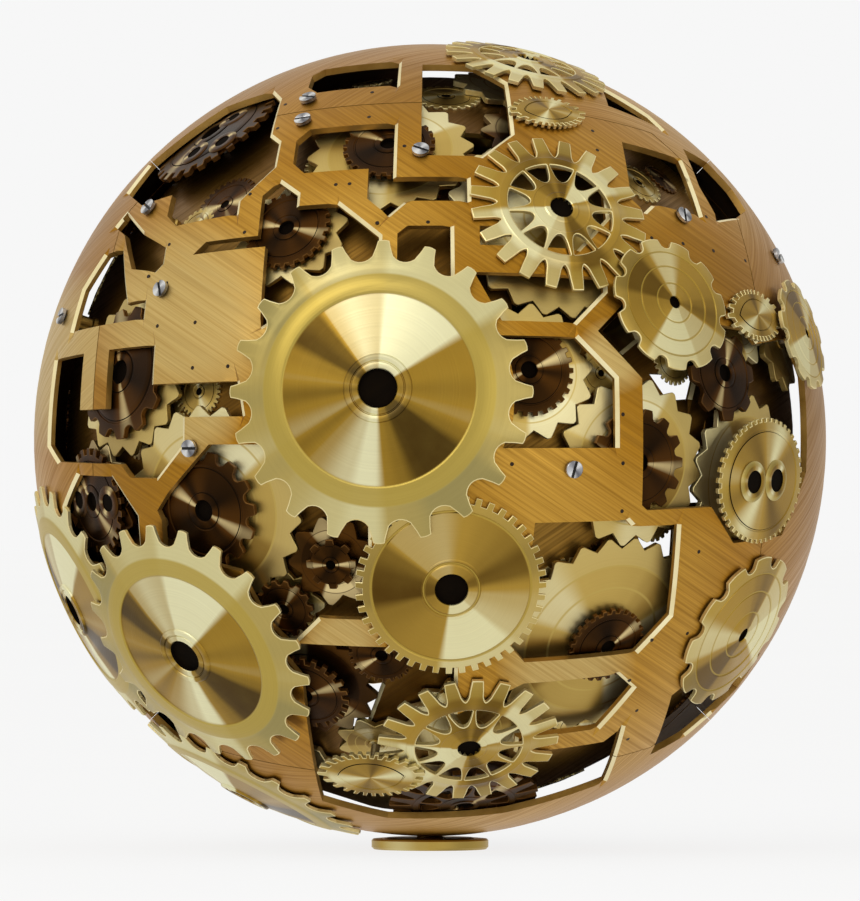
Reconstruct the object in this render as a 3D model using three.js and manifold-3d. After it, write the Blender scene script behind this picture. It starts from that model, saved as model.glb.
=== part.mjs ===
// Clockwork globe: pierced brass bridge plates, domed wheels on radial arbors,
// an inner train, two mainplates with pillars, slotted screws and a foot.
// Millimetres, +Z up, the front of the globe faces -Y, origin at the middle of the foot face.
import * as THREE from 'three';
import { mergeVertices } from 'three/addons/utils/BufferGeometryUtils.js';
import Module from 'manifold-3d';

const wasm = await Module();
wasm.setup();

// ---- driving dimensions (mm and degrees) ---------------------------------------------
const CENTRE_Z = 105;          // globe centre above the foot face
const CHART_R = 103;           // radius at which the layout chart is drawn
const VIEW_D = 3000;           // viewing distance used to line the layers up
const HIGH = [103.8, 105.0];   // upper wheels
const LOW = [102.1, 103.3];    // lower wheels
const PLATE = [99.95, 101.65];  // bridge plates
const INNER = [98.0, 99.5];    // dark inner wheels
const TRAIN_D = [95.9, 97.4];  // hidden train, upper floor
const TRAIN_E = [93.8, 95.3];  // hidden train, lower floor
const MAIN = [91.6, 93.2];     // mainplates
const ARBOR_R = 1.15;          // arbor radius
const ARBOR_FOOT = 91.0;       // arbors of wheels carried by a mainplate end here
const ARBOR_SHORT = 93.55;     // arbors carried by a bridge plate stop above the mainplate
const PLATE_HOLE = 2.2;        // arbor hole in a bridge plate
const MAIN_HOLE = 2.2;         // arbor hole in a mainplate
const ADD = 0.6, DED = 1.0;    // hidden-train addendum and dedendum (degrees)
const SCREW_HEAD_R = 2.2, SCREW_HEAD_H = 1.1, SCREW_SHANK_R = 0.9, SCREW_HOLE = 1.75, SLOT_W = 0.6, SLOT_D = 0.5;
const PILLAR_R = 2.4, PILLAR_TOP = 99.75, PILLAR_BORE = 1.7;
const FOOT_R = 15, FOOT_TOP = 102.0, STEM_R = 3.0, STEM_TOP = 97.7;
const SEAM = 57.3;             // chart edge of the front and back plates
const CORNER = 16;             // trimmed corners of the front and back plates
const SEAM_GAP = 0.13;         // half gap between plates (degrees)

// Windows of the bridge plates, chart degrees (front half; the back half is its mirror image).
const WINDOWS = {
  w2: [[-20.2,52.3],[-5.8,52.3],[-5.8,41],[5.8,41],[5.8,36.6],[-4,36.6],[-6.5,34.2],[-9.7,37.2],[-9.7,42.8],[-20.2,42.8],[-22.3,45],[-22.3,50]],
  w2m: [[-20.2,62.3],[-5.8,62.3],[-5.8,71],[-20.2,71],[-22.3,69],[-22.3,64.6]],
  w3: [[-1.4,45.2],[8,45.2],[13.4,50.5],[13.4,64.1],[8,69.4],[-1.4,69.4]],
  w4: [[-4.9,31],[-3.4,32.3],[3.1,32.3],[3.1,24],[-4.9,24.5]],
  w5: [[-26.9,39.2],[-24.3,41.6],[-21,38.8],[-21,36.6],[-14.4,36.6],[-7.7,30.6],[-7.7,25.5],[-14,24],[-25.5,17],[-25.5,29.9],[-38.3,29.9],[-36.1,31.9],[-26.9,31.9]],
  w6: [[-25.6,50.2],[-27.6,52.3],[-27.6,62.3],[-30,66],[-40,65.5],[-56,55],[-59.5,48.5],[-52.6,42.8],[-45.3,43],[-45.2,38.5],[-42.7,36],[-31.3,36.3],[-31.3,39],[-25.7,45]],
  w7: [[-58.8,39.7],[-56.5,42],[-50.3,36.1],[-44.5,32.4],[-44.5,29.3],[-46,28],[-51.2,29.3],[-55.2,37]],
  w8: [[-59.6,34],[-55,34],[-51.3,23],[-47.2,23.2],[-47.2,19.8],[-66,19.8],[-64.5,28]],
  w10: [[-54.1,15.2],[-44.4,15.2],[-44.4,8.8],[-29,8.8],[-28,3.5],[-38.3,3.5],[-38.3,-0.7],[-43.3,-6.1],[-48.5,-6.1],[-50.5,-4],[-68,-4],[-72,-1],[-71,15.2],[-60.9,15.2],[-60.9,5.2],[-54.1,5.2]],
  w11: [[-53,-6.1],[-50.8,-8.6],[-47.6,-12.4],[-47.6,-22],[-67,-22],[-67,-12.4],[-63.8,-8.6],[-61.6,-6.1]],
  w12: [[-43.2,-11.2],[-41,-8.3],[-33.5,-0.7],[-24.5,-0.7],[-16,-10],[-9,-12],[-9,-26.8],[-16.8,-26.8],[-21.5,-31.6],[-25,-28],[-29,-20],[-42.4,-17.5],[-42.4,-12.8]],
  w14: [[-22.5,-34],[-20.5,-31.2],[-6,-31.2],[3.7,-34],[3.8,-43.5],[14.6,-37.9],[30.2,-37.8],[33.6,-41.1],[28.3,-48.7],[14,-48.7],[14,-52.1],[30,-52.2],[33.2,-49.4],[33.2,-65.2],[14,-70],[-8,-71],[-20,-67],[-20,-37.5]],
  w17: [[15.3,-12.1],[29.7,-12.1],[30.7,-13.1],[38.7,-13.2],[38.7,-28.3],[33.1,-34.1],[14.5,-34.1],[12.3,-31.5],[13.5,-27],[14.5,-20]],
  w18: [[9.5,15.2],[21.6,15.2],[27.7,9.2],[27.7,-1.2],[10.5,-1.2],[12,3],[12.3,8],[11.5,12]],
  w19: [[6.5,24.8],[26.5,24.8],[26.5,22.6],[21.4,17.4],[10.5,17.4]],
  w20: [[7.5,29.2],[7.5,32.4],[10.3,32.4],[12.5,42],[16,44.5],[24,44.5],[28.1,41],[28.1,35.3],[22.6,29.2]],
  w21: [[25.1,16.3],[30,21.3],[36,17.5],[46,18.8],[53.7,18.8],[56,16.5],[66,18.8],[70,12],[70,-6],[63,-17.1],[50.2,-17.1],[44.9,-10.7],[33,-10.7],[32.1,-9.9],[32.1,9.3]],
  w22: [[33.6,52.2],[46.2,51.9],[47.1,38.9],[37,39.2],[35.2,37.4],[33,39.6]],
  w22m: [[33.3,62.4],[45.3,60.2],[43,64],[34,70]],
  w24: [[48.6,56],[48.9,46],[51.4,39.3],[58,42],[62,45],[60,50],[55,55]],
  w26: [[42.1,-44.5],[45,-42.5],[56,-42],[66,-42.5],[62,-50],[56,-54],[50,-58],[42,-60]],
  w27: [[-60,-46],[-56,-45.5],[-50,-49],[-46.5,-52.5],[-46.5,-60],[-52,-59],[-58,-53]],
};
// Openings of the mainplates: they sit behind the parts of the windows that stay clear.
const SIGHTS = {
  s4: [[4.2,45.6],[8,45.6],[12.4,49.8],[4.2,50.2]],
  s7: [[25.8,16.4],[29.6,20],[31.4,15.4],[28.6,13.2]],
  s8: [[12,18.2],[21.8,18.2],[25.4,24.4],[12,24.4]],
  s9: [[33.2,10.2],[41.6,10.2],[40.4,6.4],[36.4,6]],
  s10: [[39.6,-10],[44,-10],[42.6,-1],[40,-1.6]],
  s11: [[31.4,-14],[38,-14],[38,-19.2],[33,-19]],
  s12: [[-12.8,-37.4],[-7.4,-37.6],[-11,-48],[-13.6,-49]],
};
const BACK_WINDOWS = ['w3', 'w8', 'w14', 'w17', 'w19', 'w21'];
const BACK_SIGHTS = ['s4', 's7', 's8', 's9', 's10', 's11', 's12'];
// Wheels: axis direction, floor, outline radius (degrees) and hidden train gears [pitch radius, teeth].
const WHEELS = [
  { name: 'great_wheel_1', lev: 'H', kind: 'sprocket', r: 21.377, deep: false, dir: [-0.1240171, -0.9847065, 0.1223636], gears: {D: [11.937, 17]} },
  { name: 'great_wheel_2', lev: 'H', kind: 'sprocket', r: 19.389, deep: false, dir: [-0.5871247, -0.6224923, -0.5174823], gears: {E: [7.77339, 11]} },
  { name: 'great_wheel_3', lev: 'L', kind: 'sprocket', r: 18.271, deep: false, dir: [-0.8808302, -0.2183922, -0.4200511], gears: {D: [13.36595, 19]} },
  { name: 'great_wheel_4', lev: 'L', kind: 'sprocket', r: 17.465, deep: false, dir: [-0.4594588, -0.0909999, -0.8835251], gears: {E: [23.93917, 33]} },
  { name: 'fine_tooth_wheel', lev: 'L', kind: 'fine', r: 13.428, n: 20, deep: false, dir: [0.0518265, -0.9312081, -0.3607846], gears: {D: [11.2254, 16]} },
  { name: 'paddle_wheel_1', lev: 'L', kind: 'paddle', r: 13.074, n: 6, deep: true, dir: [0.3192182, -0.7618579, 0.5636242], gears: {D: [15.52568, 22], E: [11.39785, 16]} },
  { name: 'paddle_wheel_2', lev: 'L', kind: 'paddle', r: 12.841, n: 6, deep: true, dir: [0.0952114, -0.6537331, -0.7507115], gears: {D: [8.3953, 12], E: [9.19804, 13]} },
  { name: 'paddle_wheel_4', lev: 'L', kind: 'paddle', r: 11.811, n: 6, deep: false, dir: [0.2420832, -0.2299492, 0.9426129], gears: {E: [9.95752, 14]} },
  { name: 'paddle_wheel_3', lev: 'C', kind: 'paddle', r: 11.056, n: 6, deep: true, dir: [0.0874150, -0.3476210, -0.9335514], gears: {E: [11.34611, 16]} },
  { name: 'cog_wheel_1', lev: 'H', kind: 'cog', r: 9.597, deep: false, dir: [0.5829771, -0.7434788, 0.3276843], gears: {D: [4.88567, 7]} },
  { name: 'cog_wheel_2', lev: 'L', kind: 'cog', r: 11.967, deep: true, dir: [0.7673943, -0.4273558, -0.4779884], gears: {D: [9.10062, 13]} },
  { name: 'twin_eye_wheel', lev: 'L', kind: 'lobed', r: 11.094, deep: true, dir: [0.8212197, -0.5616384, -0.1007994], gears: {D: [11.937, 17]} },
  { name: 'lens_cam_1', lev: 'L', kind: 'lens', r: 6.1, n: 12, f: 0.56, deep: true, dir: [0.2894109, -0.5166337, 0.8058107], gears: {E: [8.52352, 12]} },
  { name: 'lens_cam_2', lev: 'L', kind: 'lens', r: 7.162, n: 12, f: 0.38, deep: true, dir: [0.7998393, -0.5166120, 0.3055638], gears: {D: [6.28658, 9]} },
  { name: 'lens_cam_3', lev: 'H', kind: 'lens', r: 7.698, n: 12, f: 0.62, deep: true, dir: [-0.1427240, -0.5712126, -0.8082982], gears: {E: [5.64518, 8]} },
  { name: 'cog_wheel_3', lev: 'H', kind: 'cog', r: 7.917, deep: false, dir: [0.9115202, -0.3197081, 0.2586844], gears: {D: [6.98839, 10]} },
  { name: 'inner_wheel_1', lev: 'C', kind: 'round', r: 6.629, n: 18, q: 0.91, deep: true, dir: [-0.3615259, -0.7643549, 0.5339107], gears: {D: [8.3953, 12]} },
  { name: 'inner_wheel_2', lev: 'C', kind: 'teeth', r: 8.606, n: 14, q: 0.84, deep: true, dir: [-0.5691883, -0.8026115, -0.1784359], gears: {D: [14.80342, 21]} },
  { name: 'inner_wheel_3', lev: 'C', kind: 'round', r: 7.771, n: 16, q: 0.88, deep: true, dir: [-0.8589358, -0.4876398, -0.1563224], gears: {D: [8.3953, 12]} },
  { name: 'inner_wheel_4', lev: 'C', kind: 'teeth', r: 9.884, n: 13, q: 0.85, deep: true, dir: [-0.7861105, -0.5935395, 0.1724563], gears: {D: [11.937, 17]} },
  { name: 'inner_wheel_5', lev: 'C', kind: 'round', r: 10.377, n: 16, q: 0.88, deep: true, dir: [-0.5581411, -0.2544456, 0.7897696], gears: {} },
  { name: 'inner_wheel_6', lev: 'C', kind: 'teeth', r: 7.055, n: 8, q: 0.78, deep: true, dir: [0.7455040, -0.6446330, 0.1693284], gears: {D: [4.88567, 7]} },
  { name: 'inner_wheel_7', lev: 'C', kind: 'round', r: 6.106, n: 18, q: 0.91, deep: true, dir: [0.4484129, -0.7255296, -0.5220466], gears: {D: [16.25048, 23]} },
  { name: 'inner_wheel_8', lev: 'C', kind: 'round', r: 6.747, n: 18, q: 0.91, deep: true, dir: [0.2481243, -0.9527446, 0.1752486], gears: {D: [9.80733, 14]} },
  { name: 'inner_wheel_9', lev: 'C', kind: 'teeth', r: 3.747, n: 8, q: 0.62, deep: true, dir: [-0.2485188, -0.9166207, -0.3131213], gears: {D: [6.28658, 9]} },
  { name: 'inner_wheel_10', lev: 'C', kind: 'teeth', r: 4.469, n: 14, q: 0.84, deep: true, dir: [-0.3671871, -0.8269717, -0.4257834], gears: {E: [4.93765, 7]} },
  { name: 'inner_wheel_11', lev: 'C', kind: 'round', r: 4.859, n: 16, q: 0.88, deep: true, dir: [-0.1216653, -0.8321721, -0.5410057], gears: {E: [4.93765, 7]} },
  { name: 'inner_wheel_12', lev: 'C', kind: 'round', r: 6.646, n: 15, q: 0.86, deep: true, dir: [-0.3166996, -0.6969640, -0.6433836], gears: {E: [9.91246, 14]} },
  { name: 'inner_wheel_13', lev: 'C', kind: 'teeth', r: 7.799, n: 14, q: 0.82, deep: true, dir: [0.5262614, -0.8483930, -0.0572554], gears: {D: [11.937, 17]} },
  { name: 'inner_wheel_14', lev: 'C', kind: 'round', r: 6.784, n: 18, q: 0.91, deep: true, dir: [-0.1043081, -0.6541754, 0.7491157], gears: {D: [11.937, 17]} },
  { name: 'great_wheel_5', lev: 'H', kind: 'sprocket', r: 21.377, deep: false, dir: [-0.1240171, 0.9847065, 0.1223636], gears: {D: [14.96459, 21]} },
  { name: 'great_wheel_6', lev: 'H', kind: 'sprocket', r: 17.872, deep: false, dir: [-0.5905367, 0.6205391, -0.5159433], gears: {E: [23.93917, 33]} },
  { name: 'paddle_wheel_5', lev: 'L', kind: 'paddle', r: 13.075, n: 6, deep: true, dir: [0.3194672, 0.7602202, 0.5656907], gears: {D: [23.93986, 33]} },
];
// Meshes of the hidden train: driver, follower, floor.
const MESHES = [['great_wheel_1', 'inner_wheel_8', 'D'], ['inner_wheel_8', 'paddle_wheel_1', 'D'], ['paddle_wheel_1', 'cog_wheel_1', 'D'], ['inner_wheel_8', 'inner_wheel_13', 'D'], ['inner_wheel_13', 'twin_eye_wheel', 'D'], ['twin_eye_wheel', 'inner_wheel_6', 'D'], ['inner_wheel_13', 'inner_wheel_7', 'D'], ['inner_wheel_6', 'lens_cam_2', 'D'], ['lens_cam_2', 'cog_wheel_3', 'D'], ['paddle_wheel_1', 'inner_wheel_14', 'D'], ['inner_wheel_14', 'inner_wheel_1', 'D'], ['inner_wheel_7', 'paddle_wheel_2', 'D'], ['paddle_wheel_1', 'lens_cam_1', 'E'], ['paddle_wheel_2', 'lens_cam_3', 'E'], ['lens_cam_1', 'paddle_wheel_4', 'E'], ['inner_wheel_7', 'fine_tooth_wheel', 'D'], ['fine_tooth_wheel', 'inner_wheel_9', 'D'], ['inner_wheel_7', 'cog_wheel_2', 'D'], ['lens_cam_3', 'inner_wheel_12', 'E'], ['paddle_wheel_2', 'paddle_wheel_3', 'E'], ['inner_wheel_12', 'inner_wheel_10', 'E'], ['inner_wheel_12', 'inner_wheel_11', 'E'], ['inner_wheel_9', 'inner_wheel_2', 'D'], ['inner_wheel_2', 'inner_wheel_4', 'D'], ['inner_wheel_4', 'inner_wheel_3', 'D'], ['inner_wheel_12', 'great_wheel_2', 'E'], ['inner_wheel_3', 'great_wheel_3', 'D'], ['paddle_wheel_3', 'great_wheel_4', 'E'], ['paddle_wheel_5', 'great_wheel_5', 'D'], ['great_wheel_4', 'great_wheel_6', 'E']];
const SCREWS = [
  { name: 'screw_1', dir: [0.349882, -0.934024, -0.071985], slot: 75, long: false },
  { name: 'screw_2', dir: [-0.587834, -0.808712, -0.020879], slot: 0, long: false },
  { name: 'screw_3', dir: [-0.661158, -0.652178, 0.370856], slot: -60, long: false },
  { name: 'screw_4', dir: [-0.301679, -0.442122, 0.844700], slot: -8, long: true },
  { name: 'screw_5', dir: [-0.313389, -0.528046, 0.789275], slot: 12, long: false },
  { name: 'screw_6', dir: [-0.696561, -0.429005, 0.575116], slot: -20, long: true },
  { name: 'screw_7', dir: [-0.023222, -0.703214, 0.710599], slot: -25, long: false },
  { name: 'screw_8', dir: [0.624937, -0.550817, 0.553222], slot: 65, long: true },
  { name: 'screw_10', dir: [0.867727, -0.191403, 0.458710], slot: 20, long: true },
  { name: 'screw_11', dir: [-0.915932, -0.257397, 0.307920], slot: 10, long: true },
  { name: 'screw_12', dir: [0.349882, 0.934024, -0.071985], slot: 75, long: true },
  { name: 'screw_14', dir: [0.624937, 0.550817, 0.553222], slot: 65, long: false },
];
// ---- frame and projection helpers -------------------------------------------------
const C = new THREE.Vector3(0, 0, CENTRE_Z);
const rad = (d) => d * Math.PI / 180;

// Chart (longitude-like X, latitude-like Y, degrees from the front pole) to a unit direction.
// Deeper shells are spread outwards so that every layer lines up when seen from the front.
function place(X, Y, r, back = false) {
  const rho = rad(Math.hypot(X, Y));
  const S = CHART_R * Math.sin(rho);
  const sg = back ? -1 : 1;
  let q = rho;
  for (let k = 0; k < 60; k++) {
    let v = S * (1 - sg * (r / VIEW_D) * Math.cos(q)) / r;
    v = Math.min(v, 0.9995);
    q = Math.asin(v);
    if (rho > Math.PI / 2) q = Math.PI - q;
  }
  const a = Math.atan2(Y, X);
  return new THREE.Vector3(Math.sin(q) * Math.cos(a), (back ? 1 : -1) * Math.cos(q), Math.sin(q) * Math.sin(a));
}

// Right-handed basis (u east, v north, w outward) for an axis through the globe centre.
function basis(w) {
  const u = new THREE.Vector3(0, 0, 1).cross(w).normalize();
  const v = w.clone().cross(u).normalize();
  return { u, v, w };
}
function sph(b, theta, phi, r) {
  const s = Math.sin(rad(theta)), c = Math.cos(rad(theta));
  return C.clone().addScaledVector(b.w, r * c)
    .addScaledVector(b.u, r * s * Math.cos(phi)).addScaledVector(b.v, r * s * Math.sin(phi));
}

// ---- solids ------------------------------------------------------------------------
function toGeo(verts, tris) {
  const g = new THREE.BufferGeometry();
  g.setAttribute('position', new THREE.Float32BufferAttribute(verts.flatMap((p) => [p.x, p.y, p.z]), 3));
  g.setIndex(tris.flat());
  return g;
}
function toManifold(g0) {
  let g = g0.clone();
  for (const n of Object.keys(g.attributes)) if (n !== 'position') g.deleteAttribute(n);
  g = mergeVertices(g, 1e-5);
  const idx = [];
  const src = g.index.array;
  for (let i = 0; i < src.length; i += 3) {
    const [a, b, c] = [src[i], src[i + 1], src[i + 2]];
    if (a !== b && b !== c && a !== c) idx.push(a, b, c);
  }
  const mesh = new wasm.Mesh({ numProp: 3, vertProperties: new Float32Array(g.attributes.position.array), triVerts: new Uint32Array(idx) });
  return new wasm.Manifold(mesh);
}
function fromManifold(m) {
  const k = m.getMesh();
  const g = new THREE.BufferGeometry();
  const n = k.numProp, v = k.vertProperties, out = new Float32Array(v.length / n * 3);
  for (let i = 0; i < v.length / n; i++) { out[3 * i] = v[n * i]; out[3 * i + 1] = v[n * i + 1]; out[3 * i + 2] = v[n * i + 2]; }
  g.setAttribute('position', new THREE.BufferAttribute(out, 3));
  g.setIndex(new THREE.BufferAttribute(new Uint32Array(k.triVerts), 1));
  const s = g.toNonIndexed(); s.computeVertexNormals();
  return s;
}

// Flat-topped teeth with a sloping gullet: three corners per tooth.
function trapTeeth(N, tip, root, tipW, rootW, phase = 0) {
  const out = [], P = 2 * Math.PI / N;
  for (let k = 0; k < N; k++) {
    const c = (k + phase) * P;
    out.push([tip, c - tipW * P / 2], [tip, c + tipW * P / 2], [root, c + 0.5 * P]);
  }
  return out;
}
// Pointed teeth: two corners per tooth.
function starTeeth(N, tip, root, phase = 0) {
  const out = [], P = 2 * Math.PI / N;
  for (let k = 0; k < N; k++) out.push([tip, (k + phase) * P], [root, (k + phase + 0.5) * P]);
  return out;
}
function circle(n, t) { const o = []; for (let k = 0; k < n; k++) o.push([t, 2 * Math.PI * k / n]); return o; }
function ellipseTeeth(N, a, bb, h, tipW, rootW) {
  const out = [], P = 2 * Math.PI / N;
  const rad0 = (f) => a * bb / Math.hypot(bb * Math.cos(f), a * Math.sin(f));
  for (let k = 0; k < N; k++) {
    const c = k * P;
    for (const [w, d] of [[-tipW, h], [tipW, h], [1, 0]]) { const f = c + w * P / 2; out.push([rad0(f) + d, f]); }
  }
  return out;
}

// Ring with windows between spokes: triangulated in the polar plane, then domed.
function spoked(b, outline, rTop, rBot, hubT, hubN, holes, cTop, cBot) {
  const P2 = ([t, p]) => new THREE.Vector2(t * Math.cos(p), t * Math.sin(p));
  const hub = circle(hubN, hubT);
  const outer = outline.map(P2), inner = [hub, ...holes].map((h) => h.map(P2).reverse());
  const all = [...outer, ...inner.flat()];
  const faces = THREE.ShapeUtils.triangulateShape(outer, inner);
  const verts = [], tris = [];
  const top = all.map((q) => { const t = q.length(), p = Math.atan2(q.y, q.x); verts.push(sph(b, t, p, rTop)); return verts.length - 1; });
  const bot = all.map((q) => { const t = q.length(), p = Math.atan2(q.y, q.x); verts.push(sph(b, t, p, rBot)); return verts.length - 1; });
  for (const [x, y, z] of faces) {
    const area = (all[y].x - all[x].x) * (all[z].y - all[x].y) - (all[z].x - all[x].x) * (all[y].y - all[x].y);
    const f = area > 0 ? [x, y, z] : [x, z, y];
    tris.push([top[f[0]], top[f[1]], top[f[2]]], [bot[f[0]], bot[f[2]], bot[f[1]]]);
  }
  let o = 0;
  const wall = (n) => { for (let k = 0; k < n; k++) { const i = o + k, j = o + (k + 1) % n; tris.push([bot[i], bot[j], top[j]], [bot[i], top[j], top[i]]); } o += n; };
  wall(outer.length);
  const hubStart = o; o += hub.length;      // hub loop is closed by its own cap, not by a wall
  for (let k = 1; k < inner.length; k++) wall(inner[k].length);
  const ct = verts.push(sph(b, 0, 0, cTop)) - 1, cb = verts.push(sph(b, 0, 0, cBot)) - 1;
  const n = hub.length;
  for (let k = 0; k < n; k++) { const i = hubStart + k, j = hubStart + (k + 1) % n; tris.push([top[j], top[i], ct], [bot[i], bot[j], cb]); }
  return toGeo(verts, tris);
}
function wedge(t0, t1, a0, a1, w0, w1) { // window between two spokes: inner and outer edges, trimmed by half spoke widths (deg of arc)
  const i0 = a0 + Math.asin(Math.sin(rad(w0)) / Math.sin(rad(t0))), i1 = a1 - Math.asin(Math.sin(rad(w0)) / Math.sin(rad(t0)));
  const o0 = a0 + Math.asin(Math.sin(rad(w1)) / Math.sin(rad(t1))), o1 = a1 - Math.asin(Math.sin(rad(w1)) / Math.sin(rad(t1)));
  return [[t0, (i0 + i1) / 2], [t1, o0], [t1, o1]];
}

// Straight prism along an axis through the globe centre.
function rod(w, r0, r1, radius, n = 6) {
  const g = new THREE.CylinderGeometry(radius, radius, r1 - r0, n, 1, false);
  g.applyQuaternion(new THREE.Quaternion().setFromUnitVectors(new THREE.Vector3(0, 1, 0), w));
  g.translate(...C.clone().addScaledVector(w, (r0 + r1) / 2).toArray());
  return g;
}

// Radial cutter through all shells under a chart polygon.
function cutter(poly, r, back, lo, hi, step = 18) {
  const pts = [];
  for (let k = 0; k < poly.length; k++) {
    const [ax, ay] = poly[k], [bx, by] = poly[(k + 1) % poly.length];
    const n = Math.max(1, Math.ceil(Math.hypot(bx - ax, by - ay) / step));
    for (let i = 0; i < n; i++) pts.push(new THREE.Vector2(ax + (bx - ax) * i / n, ay + (by - ay) * i / n));
  }
  if (THREE.ShapeUtils.area(pts) < 0) pts.reverse();
  const faces = THREE.ShapeUtils.triangulateShape(pts, []);
  const verts = [], tris = [], n = pts.length;
  for (const R of [hi, lo]) for (const p of pts) verts.push(C.clone().addScaledVector(place(p.x, p.y, r, back), R));
  const s = back;   // mirrored chart reverses the winding
  for (const [a, bq, c] of faces) { tris.push(s ? [a, c, bq] : [a, bq, c], s ? [n + a, n + bq, n + c] : [n + a, n + c, n + bq]); }
  for (let k = 0; k < n; k++) { const l = (k + 1) % n; tris.push(s ? [n + k, l, n + l] : [n + k, n + l, l], s ? [n + k, k, l] : [n + k, l, k]); }
  return toGeo(verts, tris);
}

// Wide cutter for the plate seams: same walls, closed by a tall cone so that it clears the dome.
function wideCutter(e, r, back) {
  const pts = [];
  const f = e - CORNER, c = [[-f, -e], [f, -e], [e, -f], [e, f], [f, e], [-f, e], [-e, f], [-e, -f]];
  for (let k = 0; k < 8; k++) {
    const m = k % 2 ? 3 : 8, l = (k + 1) % 8;
    for (let i = 0; i < m; i++) pts.push([c[k][0] + (c[l][0] - c[k][0]) * i / m, c[k][1] + (c[l][1] - c[k][1]) * i / m]);
  }
  const verts = [], tris = [], n = pts.length, w = new THREE.Vector3(0, back ? 1 : -1, 0);
  for (const R of [150, 30]) for (const [x, y] of pts) verts.push(C.clone().addScaledVector(place(x, y, r, back), R));
  verts.push(C.clone().addScaledVector(w, 420), C.clone().addScaledVector(w, 20));
  const push = (a, b, q) => tris.push(back ? [a, q, b] : [a, b, q]);
  for (let k = 0; k < n; k++) { const l = (k + 1) % n; push(k, l, 2 * n); push(n + l, n + k, 2 * n + 1); push(n + k, n + l, l); push(n + k, l, k); }
  return toGeo(verts, tris);
}

// Turned and toothed stack on one arbor: loops from the outer face down to the arbor foot,
// each loop star-shaped round the axis, stitched one to the next and capped at both ends.
function stack(b, loops, cTop, cBot) {
  const verts = [], tris = [];
  const rows = loops.map((L) => {
    if (L.pts) return L.pts.map(([t, a]) => { verts.push(sph(b, t, a, L.r)); return { i: verts.length - 1, a, t }; });
    const R = [];
    for (let k = 0; k < L.n; k++) { const a = 2 * Math.PI * k / L.n + (L.a0 || 0); verts.push(sph(b, L.t, a, L.r)); R.push({ i: verts.length - 1, a, t: L.t }); }
    return R;
  });
  const top = verts.push(sph(b, 0, 0, cTop)) - 1, bot = verts.push(sph(b, 0, 0, cBot)) - 1;
  const first = rows[0], last = rows[rows.length - 1];
  for (let k = 0; k < first.length; k++) tris.push([first[k].i, first[(k + 1) % first.length].i, top]);
  for (let k = 0; k < last.length; k++) tris.push([last[(k + 1) % last.length].i, last[k].i, bot]);
  for (let s = 0; s + 1 < rows.length; s++) {
    const A = rows[s], B = rows[s + 1];
    if (loops[s].pts && loops[s + 1].pts === loops[s].pts) {
      for (let k = 0; k < A.length; k++) { const l = (k + 1) % A.length; tris.push([B[k].i, B[l].i, A[l].i], [B[k].i, A[l].i, A[k].i]); }
    } else stitch(A, B, tris);
  }
  return toGeo(verts, tris);
}
// Band between an upper loop A and the next loop B (both counter-clockwise seen from outside).
function stitch(A, B, tris) {
  const T = 2 * Math.PI, na = A.length, nb = B.length;
  const norm = (x) => ((x % T) + T) % T;
  const sa = A.map((q, k) => k).sort((x, y) => norm(A[x].a) - norm(A[y].a) || x - y);
  const sb = B.map((q, k) => k).sort((x, y) => norm(B[x].a) - norm(B[y].a) || x - y);
  const ga = (k) => norm(A[sa[k % na]].a) + T * Math.floor(k / na), gb = (k) => norm(B[sb[k % nb]].a) + T * Math.floor(k / nb);
  const ia = (k) => A[sa[k % na]].i, ib = (k) => B[sb[k % nb]].i;
  let i = 0, j = 0;
  while (i < na || j < nb) {
    const stepA = j >= nb || (i < na && ga(i + 1) + ga(i) <= gb(j + 1) + gb(j));
    if (stepA) { tris.push([ia(i + 1), ia(i), ib(j)]); i++; } else { tris.push([ib(j), ib(j + 1), ia(i)]); j++; }
  }
}
const ring = (t, n, r) => ({ t, n, r });

// ---- the globe ---------------------------------------------------------------------
const group = new THREE.Group();
group.name = 'clockwork_globe';
const FIN = {
  bright: [0xc9a650, 0.28, 1.0], plate: [0xb0842f, 0.42, 1.0], dark: [0x5a3411, 0.38, 1.0],
  pale: [0xcdb97a, 0.35, 1.0], steel: [0x8f9094, 0.3, 1.0], main: [0x7a5420, 0.5, 1.0], foot: [0xb0842f, 0.4, 1.0],
};
function put(name, manifold, fin) {
  const geo = fromManifold(manifold);
  const [color, roughness, metalness] = FIN[fin];
  const m = new THREE.Mesh(geo, new THREE.MeshStandardMaterial({ color, roughness, metalness }));
  m.name = name;
  group.add(m);
}

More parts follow.
